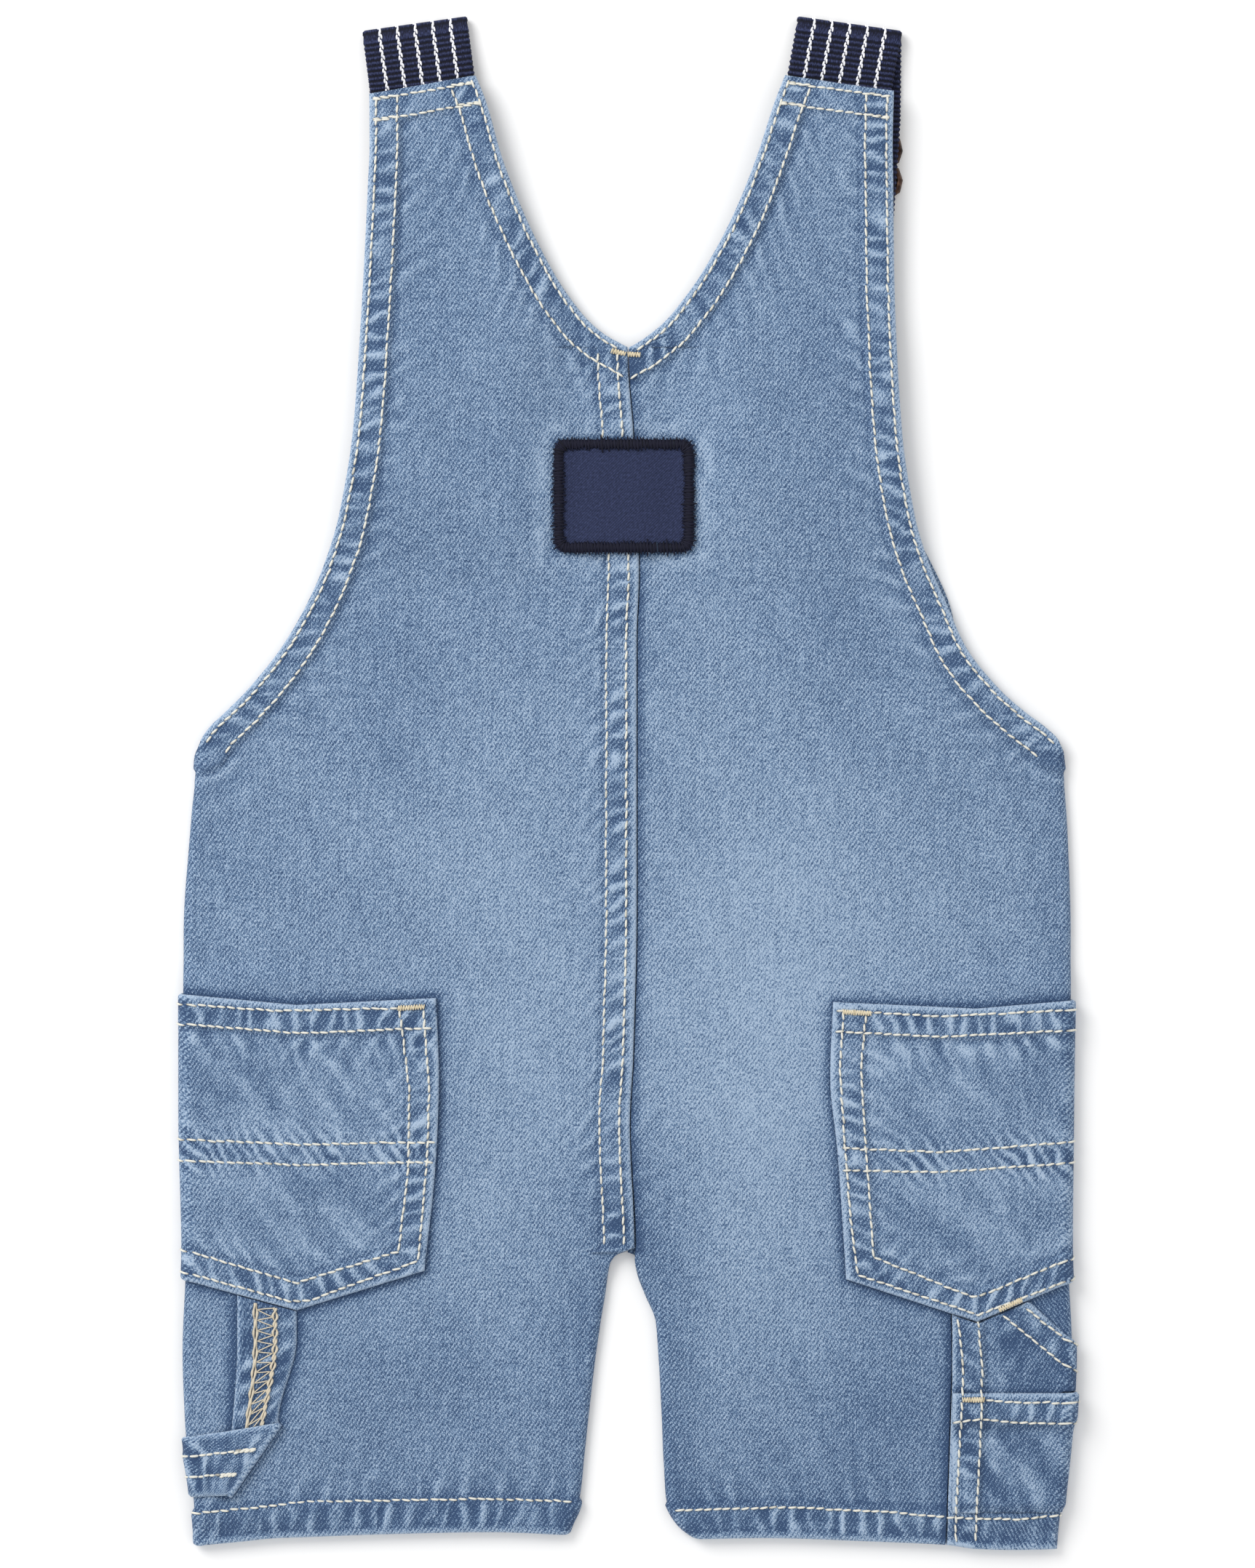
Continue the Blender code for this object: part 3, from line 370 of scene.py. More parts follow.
def from_line(line, out, y):
    """(distance from a line of points, how far along it), for arrays of places."""
    start = line[:-1]
    way = line[1:] - start
    length = np.maximum(np.hypot(way[:, 0], way[:, 1]), 1e-6)
    total = np.concatenate([[0], np.cumsum(length)[:-1]])
    dx = out.reshape(-1, 1) - start[:, 0]
    dy = y.reshape(-1, 1) - start[:, 1]
    share = np.clip((dx * way[:, 0] + dy * way[:, 1]) / length**2, 0, 1)
    away = np.hypot(dx - share * way[:, 0], dy - share * way[:, 1])
    nearest = np.argmin(away, axis=1)
    rows = np.arange(len(nearest))
    along = total[nearest] + share[rows, nearest] * length[nearest]
    return away[rows, nearest].reshape(out.shape), along.reshape(out.shape)


def edge_line(edge, side, low, high, count=70):
    heights = np.linspace(low, high, count)
    return np.stack([edge[side](heights), heights], axis=-1)


def unit(ways):
    """Directions scaled to a length of 1."""
    return ways / np.maximum(np.linalg.norm(ways, axis=-1, keepdims=True), TINY)


def leftward(ways):
    """The directions a quarter turn to the left of these, in the plane of the cloth."""
    return np.stack([-ways[..., 1], ways[..., 0]], axis=-1)


def beside(line, distance):
    """A line moved sideways by a distance, to the left of the way it runs."""
    return line + distance * leftward(unit(np.gradient(line, axis=0)))


def lengths_along(line):
    """The length of a line of points up to each of them."""
    return np.concatenate([[0], np.cumsum(np.hypot(*np.diff(line, axis=0).T))])


NECK = {side: edge_line(inner_edge, side, V_POINT, 214.0) for side in SIDES}
ARMHOLE = {side: edge_line(outer_edge, side, UNDERARM, 209.0) for side in SIDES}


def band(distance, width):
    """1 on a turned hem this wide, and 0 past its inner edge."""
    return 1 - ramp(distance, width - EDGE_STEP, width + 0.2)


def leg_bottom(side, out, y):
    start = flat_outer(side, y)
    return leg_end[side](np.where(out < start, out, 2 * start + HALF_TURN - out))


# %% [markdown]
# A lockstitch pulls the cloth up a little at each stitch. After washing, a hem shrinks more than
# its thread and ropes into small slanted ridges. The ridges lose their indigo first, so one
# pattern gives both the relief and the light streaks; the streaks are partly that wear and partly
# painted shading of the puckers. Soft noise shifts the ridges so that no two are alike.

# %% Puckers, drift and rounded edges
PUCKER_PITCH = 5.6
PUCKER_HEIGHT = 0.34


def drift(x, y, size, seed):
    """Smooth noise between -1 and 1, with bumps about this many millimetres across."""
    lattice = np.random.default_rng(seed).uniform(-1, 1, (64, 64))
    u = np.asarray(x / size + 31.7, float)
    v = np.asarray(y / size + 29.3, float)
    i = np.floor(u).astype(int)
    j = np.floor(v).astype(int)
    s = u - i
    t = v - j
    s = s * s * (3 - 2 * s)
    t = t * t * (3 - 2 * t)
    i, j = i % 63, j % 63
    low = lattice[i, j] * (1 - s) + lattice[i + 1, j] * s
    high = lattice[i, j + 1] * (1 - s) + lattice[i + 1, j + 1] * s
    return low * (1 - t) + high * t


def ridges(along, across, slant, seed, pitch=PUCKER_PITCH):
    """Narrow ridges with wider troughs between them, from about -0.6 to 1.5."""
    shift = 3.0 * drift(along, across * 0.4, 11.0, seed) + 1.6 * drift(along, across, 4.0, seed + 1)
    wave = 0.5 + 0.5 * np.cos(2 * math.pi * (along + slant * across + shift) / pitch)
    strength = np.clip(0.75 + 0.8 * drift(along, across * 0.5, 7.0, seed + 2), 0.1, 1.5)
    return strength * (1.45 * wave**2.8 - 0.42)


def roped_hem(distance, along, seed, width=HEM_WIDTH, slant=0.35):
    """(relief, fading and painted shading) of a hem between its two lines of stitches and of the cloth
    beside it.
    """
    wave = ridges(along, distance, slant, seed)
    inside = ramp(distance, 0.8, 3.0) * (1 - ramp(distance, width - 2.6, width - 0.4))
    beyond = trail(distance - width, 6.0) * ramp(distance, width - 0.4, width + 1.4)
    flare = ridges(along, distance, slant * 2.2, seed + 7, PUCKER_PITCH * 1.3)
    relief = PUCKER_HEIGHT * (wave * inside + 0.75 * flare * beyond)
    blotch = drift(along, distance, 5.0, seed + 5)
    # The ridges pale the cloth, partly worn and partly painted shading of the puckers
    fading_and_shading = (1.5 * wave + 0.55 * blotch - 0.3) * inside + 0.95 * flare * beyond
    # Painted shade: a dark line where the hem steps down to the cloth, and dark grooves along both lines of
    # stitches
    ditch = bell(distance - width - 0.7, 0.8)
    rim = bell(distance, 1.2)
    groove = bell(distance - 2.3, 0.5) + bell(distance - width + 0.9, 0.6)
    return relief, fading_and_shading - 0.6 * ditch + 1.15 * rim - 0.5 * groove


def rounded(distance, radius=1.0):
    """How far the top of a turned edge drops where the cloth goes round it."""
    t = np.clip(1 - distance / radius, 0, 1)
    return -radius * (1 - np.sqrt(1 - 0.96 * t * t))


# %% [markdown]
# Stonewashing fades the whole garment, but not evenly. What lies flat and full in the drum, the
# seat and the front of the thighs, goes pale, and the cloth just above the hems stays deep. The
# inner legs, the crotch and the sides are darker too, with painted shade where the cloth rounds
# over its folds. Each row below is one such patch, as a soft ellipse.

# %% Where the wash has faded the cloth, with painted shade at the sides and inner legs
WASH_AND_SHADE_SHARE = 0.42
# Middle X and Y, half width, half height, then how much paler (above 0) or deeper (below 0)
WASH_AND_SHADE = (
    (-42.0, -48.0, 42.0, 62.0, 0.8),
    (46.0, -52.0, 44.0, 64.0, 1.7),
    (-26.0, 30.0, 26.0, 50.0, 0.2),
    (-34.0, -106.0, 26.0, 34.0, 0.85),
    (36.0, -106.0, 26.0, 34.0, 0.6),
    (56.0, -190.0, 30.0, 26.0, -0.55),
    (30.0, 44.0, 26.0, 56.0, 0.3),
    (60.0, 60.0, 18.0, 60.0, -0.25),
    (-74.0, 40.0, 16.0, 50.0, -0.3),
    (34.0, -160.0, 26.0, 42.0, 1.05),
    (-44.0, -150.0, 34.0, 30.0, 0.35),
    (-62.0, -186.0, 30.0, 26.0, -0.3),
    # Painted shade at the inner legs and the crotch
    (-8.0, -185.0, 15.0, 55.0, -1.15),
    (12.0, -190.0, 13.0, 52.0, -1.05),
    (2.0, -132.0, 18.0, 22.0, -0.75),
    # Painted shade down both sides, where the cloth rounds over its folds
    (-134.0, -60.0, 12.0, 150.0, -0.35),
    (134.0, -60.0, 12.0, 150.0, -0.35),
    (84.0, -196.0, 18.0, 34.0, -0.55),
    (64.0, -218.0, 90.0, 14.0, -0.6),
    (-60.0, -222.0, 90.0, 11.0, -0.55),
    (-50.0, 160.0, 26.0, 60.0, -0.2),
    (52.0, 160.0, 26.0, 60.0, -0.2),
    (-50.0, 62.0, 26.0, 40.0, -0.15),
    (102.0, -30.0, 28.0, 34.0, 0.35),
    (-104.0, -38.0, 26.0, 36.0, 0.25),
)


def wash_and_shade(x, y):
    """How faded the cloth is at places seen from above, with painted shade at the sides and inner legs:
    about -1, deep, to 1, pale.
    """
    total = 0.2 * drift(x, y * 0.6, 26.0, 3) + 0.3 * drift(x + 0.5 * y, y * 0.6, 8.0, 4) - 0.16
    for middle_x, middle_y, half_x, half_y, strength in WASH_AND_SHADE:
        reach = ((x - middle_x) / half_x) ** 2 + ((y - middle_y) / half_y) ** 2
        total = total + strength * np.exp(-1.1 * reach)
    return WASH_AND_SHADE_SHARE * total


# %% [markdown]
# A cloth piece is two grids, one for each face, joined at their edges. Both carry the place on the
# cloth in millimetres as a UV map, so that the weave runs along the cloth and round its folds, and
# the fading, with its painted shading, as a number at each point.

# %% Grids into cloth
def mesh_piece(name, points, faces, material, smooth_faces=True):
    """A named object from points in millimetres, in the solids' frame and in metres."""
    world = np.asarray(points, float).reshape(-1, 3).copy()
    world[:, 0] -= OUTLINE_MIDDLE[0]
    world[:, 1] -= OUTLINE_MIDDLE[1]
    mesh = bpy.data.meshes.new(name)
    mesh.from_pydata(world * MM, [], faces)
    if smooth_faces:
        mesh.shade_smooth()
    mesh.materials.append(material)
    piece = bpy.data.objects.new(name, mesh)
    bpy.context.scene.collection.objects.link(piece)
    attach(piece, "root")
    return piece


def turned_outward(points, quads):
    """The faces, reversed where they enclose a negative volume."""
    corners = points[quads]
    first = np.cross(corners[:, 1] - corners[:, 0], corners[:, 2] - corners[:, 0])
    second = np.cross(corners[:, 2] - corners[:, 0], corners[:, 3] - corners[:, 0])
    volume = np.sum(corners[:, 0] * (first + second))
    return quads if volume > 0 else quads[:, ::-1]


def cloth(name, outer, inner, places, fading_and_shading, material):
    """Closed cloth between two grids of points, with its places and its fading and painted shading."""
    rows, columns = outer.shape[:2]
    points = np.concatenate([outer.reshape(-1, 3), inner.reshape(-1, 3)])
    index = np.arange(2 * rows * columns).reshape(2, rows, columns)
    top, under = index
    faces = [
        np.stack([top[:-1, :-1], top[:-1, 1:], top[1:, 1:], top[1:, :-1]], -1),
        np.stack([under[:-1, :-1], under[1:, :-1], under[1:, 1:], under[:-1, 1:]], -1),
        np.stack([top[0, :-1], under[0, :-1], under[0, 1:], top[0, 1:]], -1),
        np.stack([top[-1, :-1], top[-1, 1:], under[-1, 1:], under[-1, :-1]], -1),
        np.stack([top[:-1, 0], top[1:, 0], under[1:, 0], under[:-1, 0]], -1),
        np.stack([top[:-1, -1], under[:-1, -1], under[1:, -1], top[1:, -1]], -1),
    ]
    quads = turned_outward(points, np.concatenate([face.reshape(-1, 4) for face in faces]))
    piece = mesh_piece(name, points, quads.tolist(), material)
    mesh = piece.data
    flat = np.concatenate([places.reshape(-1, 2)] * 2)
    loops = np.empty(len(mesh.loops), np.int32)
    mesh.loops.foreach_get("vertex_index", loops)
    layer = mesh.uv_layers.new(name="cloth")
    layer.data.foreach_set("uv", flat[loops].astype(np.float32).ravel())
    value = mesh.attributes.new("fading_and_shading", "FLOAT", "POINT")
    value.data.foreach_set("value", np.concatenate([fading_and_shading.ravel()] * 2).astype(np.float32))
    print(name, "quads:", len(quads))
    return piece


def cut_area(places):
    """The area of a cut piece in square metres, from the places of its grid."""
    a = places[1:, 1:] - places[:-1, :-1]
    b = places[1:, :-1] - places[:-1, 1:]
    return float(np.sum(np.abs(a[..., 0] * b[..., 1] - a[..., 1] * b[..., 0]))) / 2 * MM * MM


def sewn(node, outer, inner, places, fading_and_shading, material, held, rests_on, slot="denim", kind="cloth"):
    """A cloth piece in its node's place, with its flat cut: its grid's extent and area."""
    piece = cloth(f"{node}_{kind}", outer, inner, places, fading_and_shading, material)
    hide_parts(node)
    span = np.ptp(places.reshape(-1, 2), axis=0) * MM
    area = min(cut_area(places), float(span[0] * span[1]))
    cuts.append((piece.name, round(span[0] * 1000), round(span[1] * 1000), round(area * 1e6)))


cuts = []

# %% [markdown]
# Light-wash denim. The real cloth is a cotton twill: indigo warp yarns run up the garment and
# undyed weft yarns run across, and the warp shows on the face in diagonal ribs. Stone washing has
# scraped the tops of the yarns white, so the eye sees pale blue with a salt-and-pepper grain,
# upright streaks where a yarn is thick, and faint diagonals. Cotton has no gloss, only a soft
# sheen from its fibre ends.

# %% A node helper and the denim
# The twill's lattice, in cycles for each millimetre across and up the cloth: ribs 1.04 mm apart
# that rise to the right, and the floats along them 0.58 mm apart
TWILL_RIB = (0.79, -0.55)
TWILL_FLOAT = (-0.59, -1.62)
# Share of each wave of the lattice: how many ribs, how many floats, how strong
TWILL_WAVES = ((1, 0, 0.17), (0, 1, 0.07), (-1, 1, 0.08), (-2, 1, 0.045))
# Size of each kind of unevenness across and up the cloth, and its share of the colour
GRAIN = (0.4, 0.4 * 1.8)
GRAIN_SHARE = 2.5
SLUB = (0.7, 15.0)
SLUB_SHARE = 0.4
CLOUD = 2.6
CLOUD_SHARE = 0.45
# How far the yarns wander from straight, and over what length
WANDER = 0.9
WANDER_SIZE = 4.0
DENIM_DEEP = "#31486a"
DENIM_BODY = "#66809f"
DENIM_PALE = "#a3b6cc"
FADING_AND_SHADING_SHARE = 0.29


def linear(hex_colour):
    """An sRGB hex colour as linear RGBA."""
    values = [int(hex_colour[k : k + 2], 16) / 255 for k in (1, 3, 5)]
    return [v / 12.92 if v <= 0.04045 else ((v + 0.055) / 1.055) ** 2.4 for v in values] + [1.0]


def add(tree, kind, settings=None, links=None):
    """Adds a node. Links are input: a node, (node, output) or a value."""
    node = tree.nodes.new(kind)
    for key, value in (settings or {}).items():
        setattr(node, key, value)
    for key, value in (links or {}).items():
        source, output = value if isinstance(value, tuple) and len(value) == 2 else (value, 0)
        if isinstance(source, bpy.types.Node):
            tree.links.new(source.outputs[output], node.inputs[key])
        else:
            node.inputs[key].default_value = value
    return node


def maths(tree, operation, *inputs):
    return add(tree, "ShaderNodeMath", {"operation": operation}, dict(enumerate(inputs)))


def vectors(tree, operation, *inputs):
    return add(tree, "ShaderNodeVectorMath", {"operation": operation}, dict(enumerate(inputs)))


def noise(tree, place, scale, detail=2.0):
    return add(tree, "ShaderNodeTexNoise", {}, {"Vector": place, "Scale": scale, "Detail": detail})


def stretched(tree, place, across, up):
    """Places scaled so that noise there has bumps of this size, in millimetres."""
    return add(tree, "ShaderNodeMapping", {}, {"Vector": place, "Scale": (1 / across, 1 / up, 1)})


def started(name, roughness, specular=0.5):
    """A new material, its tree and its shader."""
    material = bpy.data.materials.new(name)
    material.use_nodes = True
    shader = material.node_tree.nodes["Principled BSDF"]
    shader.inputs["Roughness"].default_value = roughness
    shader.inputs["Specular IOR Level"].default_value = specular
    return material, material.node_tree, shader


def coloured(tree, shader, tone, stops):
    """Colours a shader by a tone, through stops: places and hex colours."""
    colours = add(tree, "ShaderNodeValToRGB", {}, {"Fac": tone})
    elements = colours.color_ramp.elements
    while len(elements) > 1:
        elements.remove(elements[-1])
    elements[0].position, elements[0].color = stops[0][0], linear(stops[0][1])
    for place, colour in stops[1:]:
        elements.new(place).color = linear(colour)
    tree.links.new(colours.outputs[0], shader.inputs["Base Color"])


def roughened(tree, shader, height, strength, depth):
    """Gives a shader a bump, this many millimetres deep."""
    bump = add(tree, "ShaderNodeBump", {}, {"Height": height, "Strength": strength, "Distance": depth * MM})
    tree.links.new(bump.outputs[0], shader.inputs["Normal"])


def washed_denim(name):
    """Stonewashed cotton twill: paler where the cloth's number for fading and painted shading is high."""
    material, tree, shader = started(name, 0.9, 0.2)
    place = add(tree, "ShaderNodeUVMap", {"uv_map": "cloth"})
    fading_and_shading = add(tree, "ShaderNodeAttribute", {"attribute_name": "fading_and_shading"})
    wander = noise(tree, place, 1 / WANDER_SIZE)
    drawn = vectors(tree, "MULTIPLY_ADD", (wander, 1), (WANDER, WANDER, 0.0), place)
    total = maths(tree, "MULTIPLY", (fading_and_shading, "Fac"), FADING_AND_SHADING_SHARE)
    twill = 0.0
    for ribs, floats, share in TWILL_WAVES:
        way = [2 * math.pi * (ribs * TWILL_RIB[k] + floats * TWILL_FLOAT[k]) for k in (0, 1)]
        wave = maths(tree, "COSINE", (vectors(tree, "DOT_PRODUCT", drawn, (*way, 0)), 1))
        twill = maths(tree, "MULTIPLY_ADD", wave, share, twill)
    grain = noise(tree, stretched(tree, place, *GRAIN), 1.0)
    grain.inputs["Roughness"].default_value = 0.8
    slub = noise(tree, stretched(tree, place, *SLUB), 1.0)
    cloudy = noise(tree, place, 1 / CLOUD, 3.0)
    start = 0.5
    for source, share in ((grain, GRAIN_SHARE), (slub, SLUB_SHARE), (cloudy, CLOUD_SHARE)):
        start -= share * 0.5
        total = maths(tree, "MULTIPLY_ADD", source, share, total)
    total = maths(tree, "ADD", maths(tree, "ADD", total, twill), start)
    coloured(tree, shader, total, ((0.14, DENIM_DEEP), (0.5, DENIM_BODY), (0.86, DENIM_PALE)))
    roughened(tree, shader, maths(tree, "MULTIPLY_ADD", twill, 3.0, grain), 0.4, 0.16)
    shader.inputs["Sheen Weight"].default_value = 0.08
    shader.inputs["Sheen Roughness"].default_value = 0.6
    return material


denim = washed_denim("stonewashed_cotton_twill")
print("denim nodes:", len(denim.node_tree.nodes))

# %% [markdown]
# Cloth beside a raised edge is sheltered from the wash and lies in its shadow, so a dark line follows
# each patch that is sewn on: partly unfaded cloth, partly painted shadow. Round the small patch the
# stitching also gathers the cloth into a pale halo.

# %% Shelter and painted shadow beside what is sewn on
SHELTER_AND_SHADOW = 1.5
SHELTER_AND_SHADOW_REACH = 1.9
loop_share = np.linspace(1, 0, 24)
loop_out = LOOP_FOLD[0][0] + (LOOP_TOP[0] - LOOP_FOLD[0][0]) * ramp(loop_share, 0.0, LOOP_NARROWS)
loop_y = LOOP_FOLD[0][1] + (-159.5 - LOOP_FOLD[0][1]) * loop_share
LOOP_EDGE = np.concatenate([np.stack([loop_out, loop_y], axis=-1), [LOOP_FOLD[1]]])
LOOP_FAR_EDGE = np.array([(LOOP_TOP[1] + 0.3, -156.0), (LOOP_TOP[1] + 1.8, -196.0)])


def outside(value, low, high):
    return np.maximum(np.maximum(low - value, value - high), 0)


def sheltered_and_shadowed(side, out, y):
    """How much deeper the back's colour is beside the pieces sewn over it, from unfaded cloth and painted
    shadow, or paler.
    """
    over = np.maximum(out, pocket_side[side](y))
    above = outside(y, pocket_bottom[side](over), pocket_top[side](over))
    away = np.hypot(above, np.maximum(pocket_side[side](y) - out, 0))
    if side < 0:
        for edge in (LOOP_EDGE, LOOP_FAR_EDGE):
            away = np.minimum(away, from_line(edge, out, y)[0])
    else:
        away = np.minimum(away, np.where(y < -160, np.abs(outseam(y) - out), FAR))
    patch_x = outside(side * out - PATCH_CENTRE[0], -PATCH_SIZE[0] / 2, PATCH_SIZE[0] / 2)
    patch_y = outside(y - PATCH_CENTRE[1], -PATCH_SIZE[1] / 2, PATCH_SIZE[1] / 2)
    patch = np.hypot(patch_x, patch_y)
    halo = (0.45 + 0.5 * drift(side * out, y, 3.5, 5)) * bell(patch - 4.0, 2.6)
    # A painted shadow line, partly unfaded cloth, along every sewn-on edge and round the patch; the halo is
    # paler
    return halo - SHELTER_AND_SHADOW * bell(away, SHELTER_AND_SHADOW_REACH) - 0.7 * bell(patch, 0.9)


# %% [markdown]
# The two back halves. Each runs from its shoulder to its leg hem. The columns of the grid keep
# their distance from both edges, so that a hem's step lies along one column and looks clean.

# %% Back panels
HEM_STEPS = np.array([0, 0.4, 0.9, 1.6, 2.5, 3.5, 4.6, 5.7, 6.8, 7.8, 8.5, 9.0, 9.4, 9.9, 10.6])
BACK_MIDDLE = 94
ROW_STEP = 1.25


def back_ends(side, y):
    end = flat_outer(side, y) + ARC_RADIUS * outer_turn(y)
    if side > 0:
        end = np.where(y < OUTSEAM_TOP, outseam(y), end)
    start = inner_edge[side](y)
    inner = flat_inner(side, y) - ARC_RADIUS * inner_turn(y)
    return np.where(y < CROTCH, inner, start), end


def fitted(columns_at, out, y):
    """Moves each column to its place at its own rows' heights."""
    for column in range(out.shape[1]):
        out[:, column] = columns_at(y[:, column])[:, column]


def panel_faces(side, face, out, y, lift):
    """Both faces of a panel, kept back from the seam where its edges end inside a fold."""
    faces = skin(side, face, out, y, lift), skin(side, face, out, y, -WALL)
    lapped = (side > 0) & (y[:, -1] < OUTSEAM_TOP)
    edges = ((0, inner_turn, flat_inner, lapped & False), (-1, outer_turn, flat_outer, lapped))
    for points in faces:
        for column, turn, fold, free in edges:
            rows = y[:, column]
            kept = kept_to_face(points[:, column].copy(), side, face, fold(side, rows), rows)
            in_fold = (turn(rows) > SEAM_TURN) & ~free
            points[:, column] = np.where(in_fold[:, None], kept, points[:, column])
    return faces


def slant_of(edge, side, y):
    lean = (edge[side](y + 1) - edge[side](y - 1)) / 2
    return np.minimum(np.hypot(1, lean), 1.7)


def back_columns(side, y):
    """The out distances of every column, for rows at these heights."""
    start, end = back_ends(side, y)
    start_slant = np.where(y > V_POINT, slant_of(inner_edge, side, y), 1)
    end_slant = np.where(y > UNDERARM, slant_of(outer_edge, side, y), 1)
    first = start[:, None] + HEM_STEPS * start_slant[:, None]
    last = end[:, None] - HEM_STEPS[::-1] * end_slant[:, None]
    share = np.arange(1, BACK_MIDDLE + 1) / (BACK_MIDDLE + 1)
    middle = first[:, -1:] + (last[:, :1] - first[:, -1:]) * share
    return np.concatenate([first, middle, last], axis=1)


def end_fitted(side, out, y):
    """Heights moved so that rows follow the leg's end below and the shoulder's above."""
    low_share = 1 - ramp(y, HEM_Y, -165.0)
    high_share = ramp(y, 165.0, SHOULDER_Y)
    low = leg_bottom(side, out, y) - HEM_Y
    high = shoulder_end[side](out) - SHOULDER_Y
    return y + low_share * low + high_share * high


def spaced_rows(low, high, extra=()):
    """Rows about ROW_STEP apart, closer together at both ends."""
    rows = [low + step for step in (0.0, 0.4, 0.9, 1.6)]
    rows += list(np.arange(low + 2.6, high - 2.2, ROW_STEP))
    rows += [high - step for step in (1.6, 0.9, 0.4, 0.0)]
    rows += list(extra)
    return np.array(sorted(rows))


def back_lift(side, out, y):
    """(height of the back's face over the plain cloth, its fading and painted shading)."""
    neck, neck_along = from_line(NECK[side], out, y)
    arm, arm_along = from_line(ARMHOLE[side], out, y)
    leg = y - leg_bottom(side, out, y)
    top = shoulder_end[side](out) - y
    hems = ((neck, HEM_WIDTH), (arm, HEM_WIDTH), (leg, LEG_HEM), (top, HEM_WIDTH))
    raised = np.maximum.reduce([band(distance, width) for distance, width in hems])
    fading_and_shading = np.zeros_like(out)
    relief = np.zeros_like(out)
    # Each seam's distance, place along it, seed, width and slant
    seams = [(neck, neck_along, 11, HEM_WIDTH, 0.45), (arm, arm_along, 23, HEM_WIDTH, -0.3)]
    seams += [(leg, out, 37, LEG_HEM, 0.12)]
    centre = np.where((y > CROTCH) & (y < V_POINT), out - inner_edge[side](y), FAR)
    if side < 0:
        raised = np.maximum(raised, band(centre, HEM_WIDTH) * (centre > -1))
        seams.append((centre, y, 41, HEM_WIDTH, 0.5))
    else:
        # Beside the left half's lap: pale flares, partly wear and partly painted shading, and a painted
        # shadow line along the seam
        beyond = trail(centre, 7.0) * (centre < 60)
        flare = ridges(y, centre, -0.7, 53, 7.5)
        relief += 0.22 * flare * beyond
        fading_and_shading += 0.35 * flare * beyond - 1.2 * bell(centre, 2.0)
    for distance, along, seed, width, slant in seams:
        own_relief, own_fading_and_shading = roped_hem(distance, along, seed + side, width, slant)
        relief += own_relief
        fading_and_shading += own_fading_and_shading
    edge = np.minimum.reduce([neck, arm, leg, top])
    if side < 0:
        edge = np.minimum(edge, np.where(centre > -1, centre, FAR))
    lift = BAND * raised + relief + rounded(np.maximum(edge, 0)) * (raised > 0.5)
    soft = 0.35 * drift(out * side, y, 24.0, 71) + 0.12 * drift(out * side, y, 8.0, 72)
    return lift + soft * ramp(edge, 2.0, 20.0) * ramp(flat_outer(side, y) - out, 0.0, 12.0), fading_and_shading


def make_back(side, name):
    extra = (CROTCH, CROTCH + 0.7, V_POINT, V_POINT + 0.35, V_POINT + 0.7)
    rows = spaced_rows(HEM_Y, SHOULDER_Y, extra)
    y = np.repeat(rows[:, None], 2 * len(HEM_STEPS) + BACK_MIDDLE, axis=1)
    out = back_columns(side, rows)
    y = end_fitted(side, out, y)
    fitted(lambda heights: back_columns(side, heights), out, y)
    lift, fading_and_shading = back_lift(side, out, y)
    places = np.stack([side * out, y], axis=-1)
    fading_and_shading = fading_and_shading + wash_and_shade(side * out, y) + sheltered_and_shadowed(side, out, y)
    rests_on = [f"front_{SIDES[side]}_cloth", "bib_cloth"]
    sewn(name, *panel_faces(side, 1, out, y, lift), places, fading_and_shading, denim, "laid", rests_on)


# %% [markdown]
# The front halves lie on the table. On the right the front wraps over the side fold and laps onto
# the back at the outseam, where its pale, worn edge shows.

# %% Front panels
FRONT_INNER = np.array([0, 0.6, 1.2, 2.4, 3.5])
FRONT_MIDDLE = 44
FRONT_TOP = 11.9
WRAP_END = np.array([0, 0.4, 0.9, 1.6, 2.6, 3.8, 5.2, 6.6, 7.8, 8.5, 9.0, 9.4, 9.9])


def lap_rise(out, y):
    below_pocket = 1 - ramp(y, -166.0, -163.5)
    return BAND * band(out - outseam(y) - GAP, HEM_WIDTH) * below_pocket


def front_ends(side, y):
    fold = flat_outer(side, y)
    start = np.full_like(y, GAP / 2)
    inner = np.maximum(flat_inner(side, y) - ARC_RADIUS * inner_turn(y), GAP / 2)
    start = np.where(y < CROTCH, inner, start)
    end = fold + ARC_RADIUS * outer_turn(y)
    if side > 0:
        end = np.where(y < OUTSEAM_TOP, 2 * fold + HALF_TURN - outseam(y) - GAP, end)
    return start, fold, end


def front_columns(side, y):
    start, fold, end = (values[:, None] for values in front_ends(side, y))
    first = start + FRONT_INNER
    share = np.arange(1, FRONT_MIDDLE + 1) / (FRONT_MIDDLE + 1)
    middle = first[:, -1:] + (fold - first[:, -1:]) * share
    reach = end - fold
    if side < 0:
        return np.concatenate([first, middle, fold + reach * np.linspace(0, 1, 6)], axis=1)
    turn = np.minimum(np.linspace(0, HALF_TURN, 9), reach * 0.3)
    lap = WRAP_END[::-1] * np.minimum(reach / 24.0, 1)
    gap = (reach - lap[:, :1]) - turn[:, -1:]
    bridge = turn[:, -1:] + gap * np.arange(1, 12) / 12
    return np.concatenate([first, middle, fold + turn, fold + bridge, fold + reach - lap], axis=1)


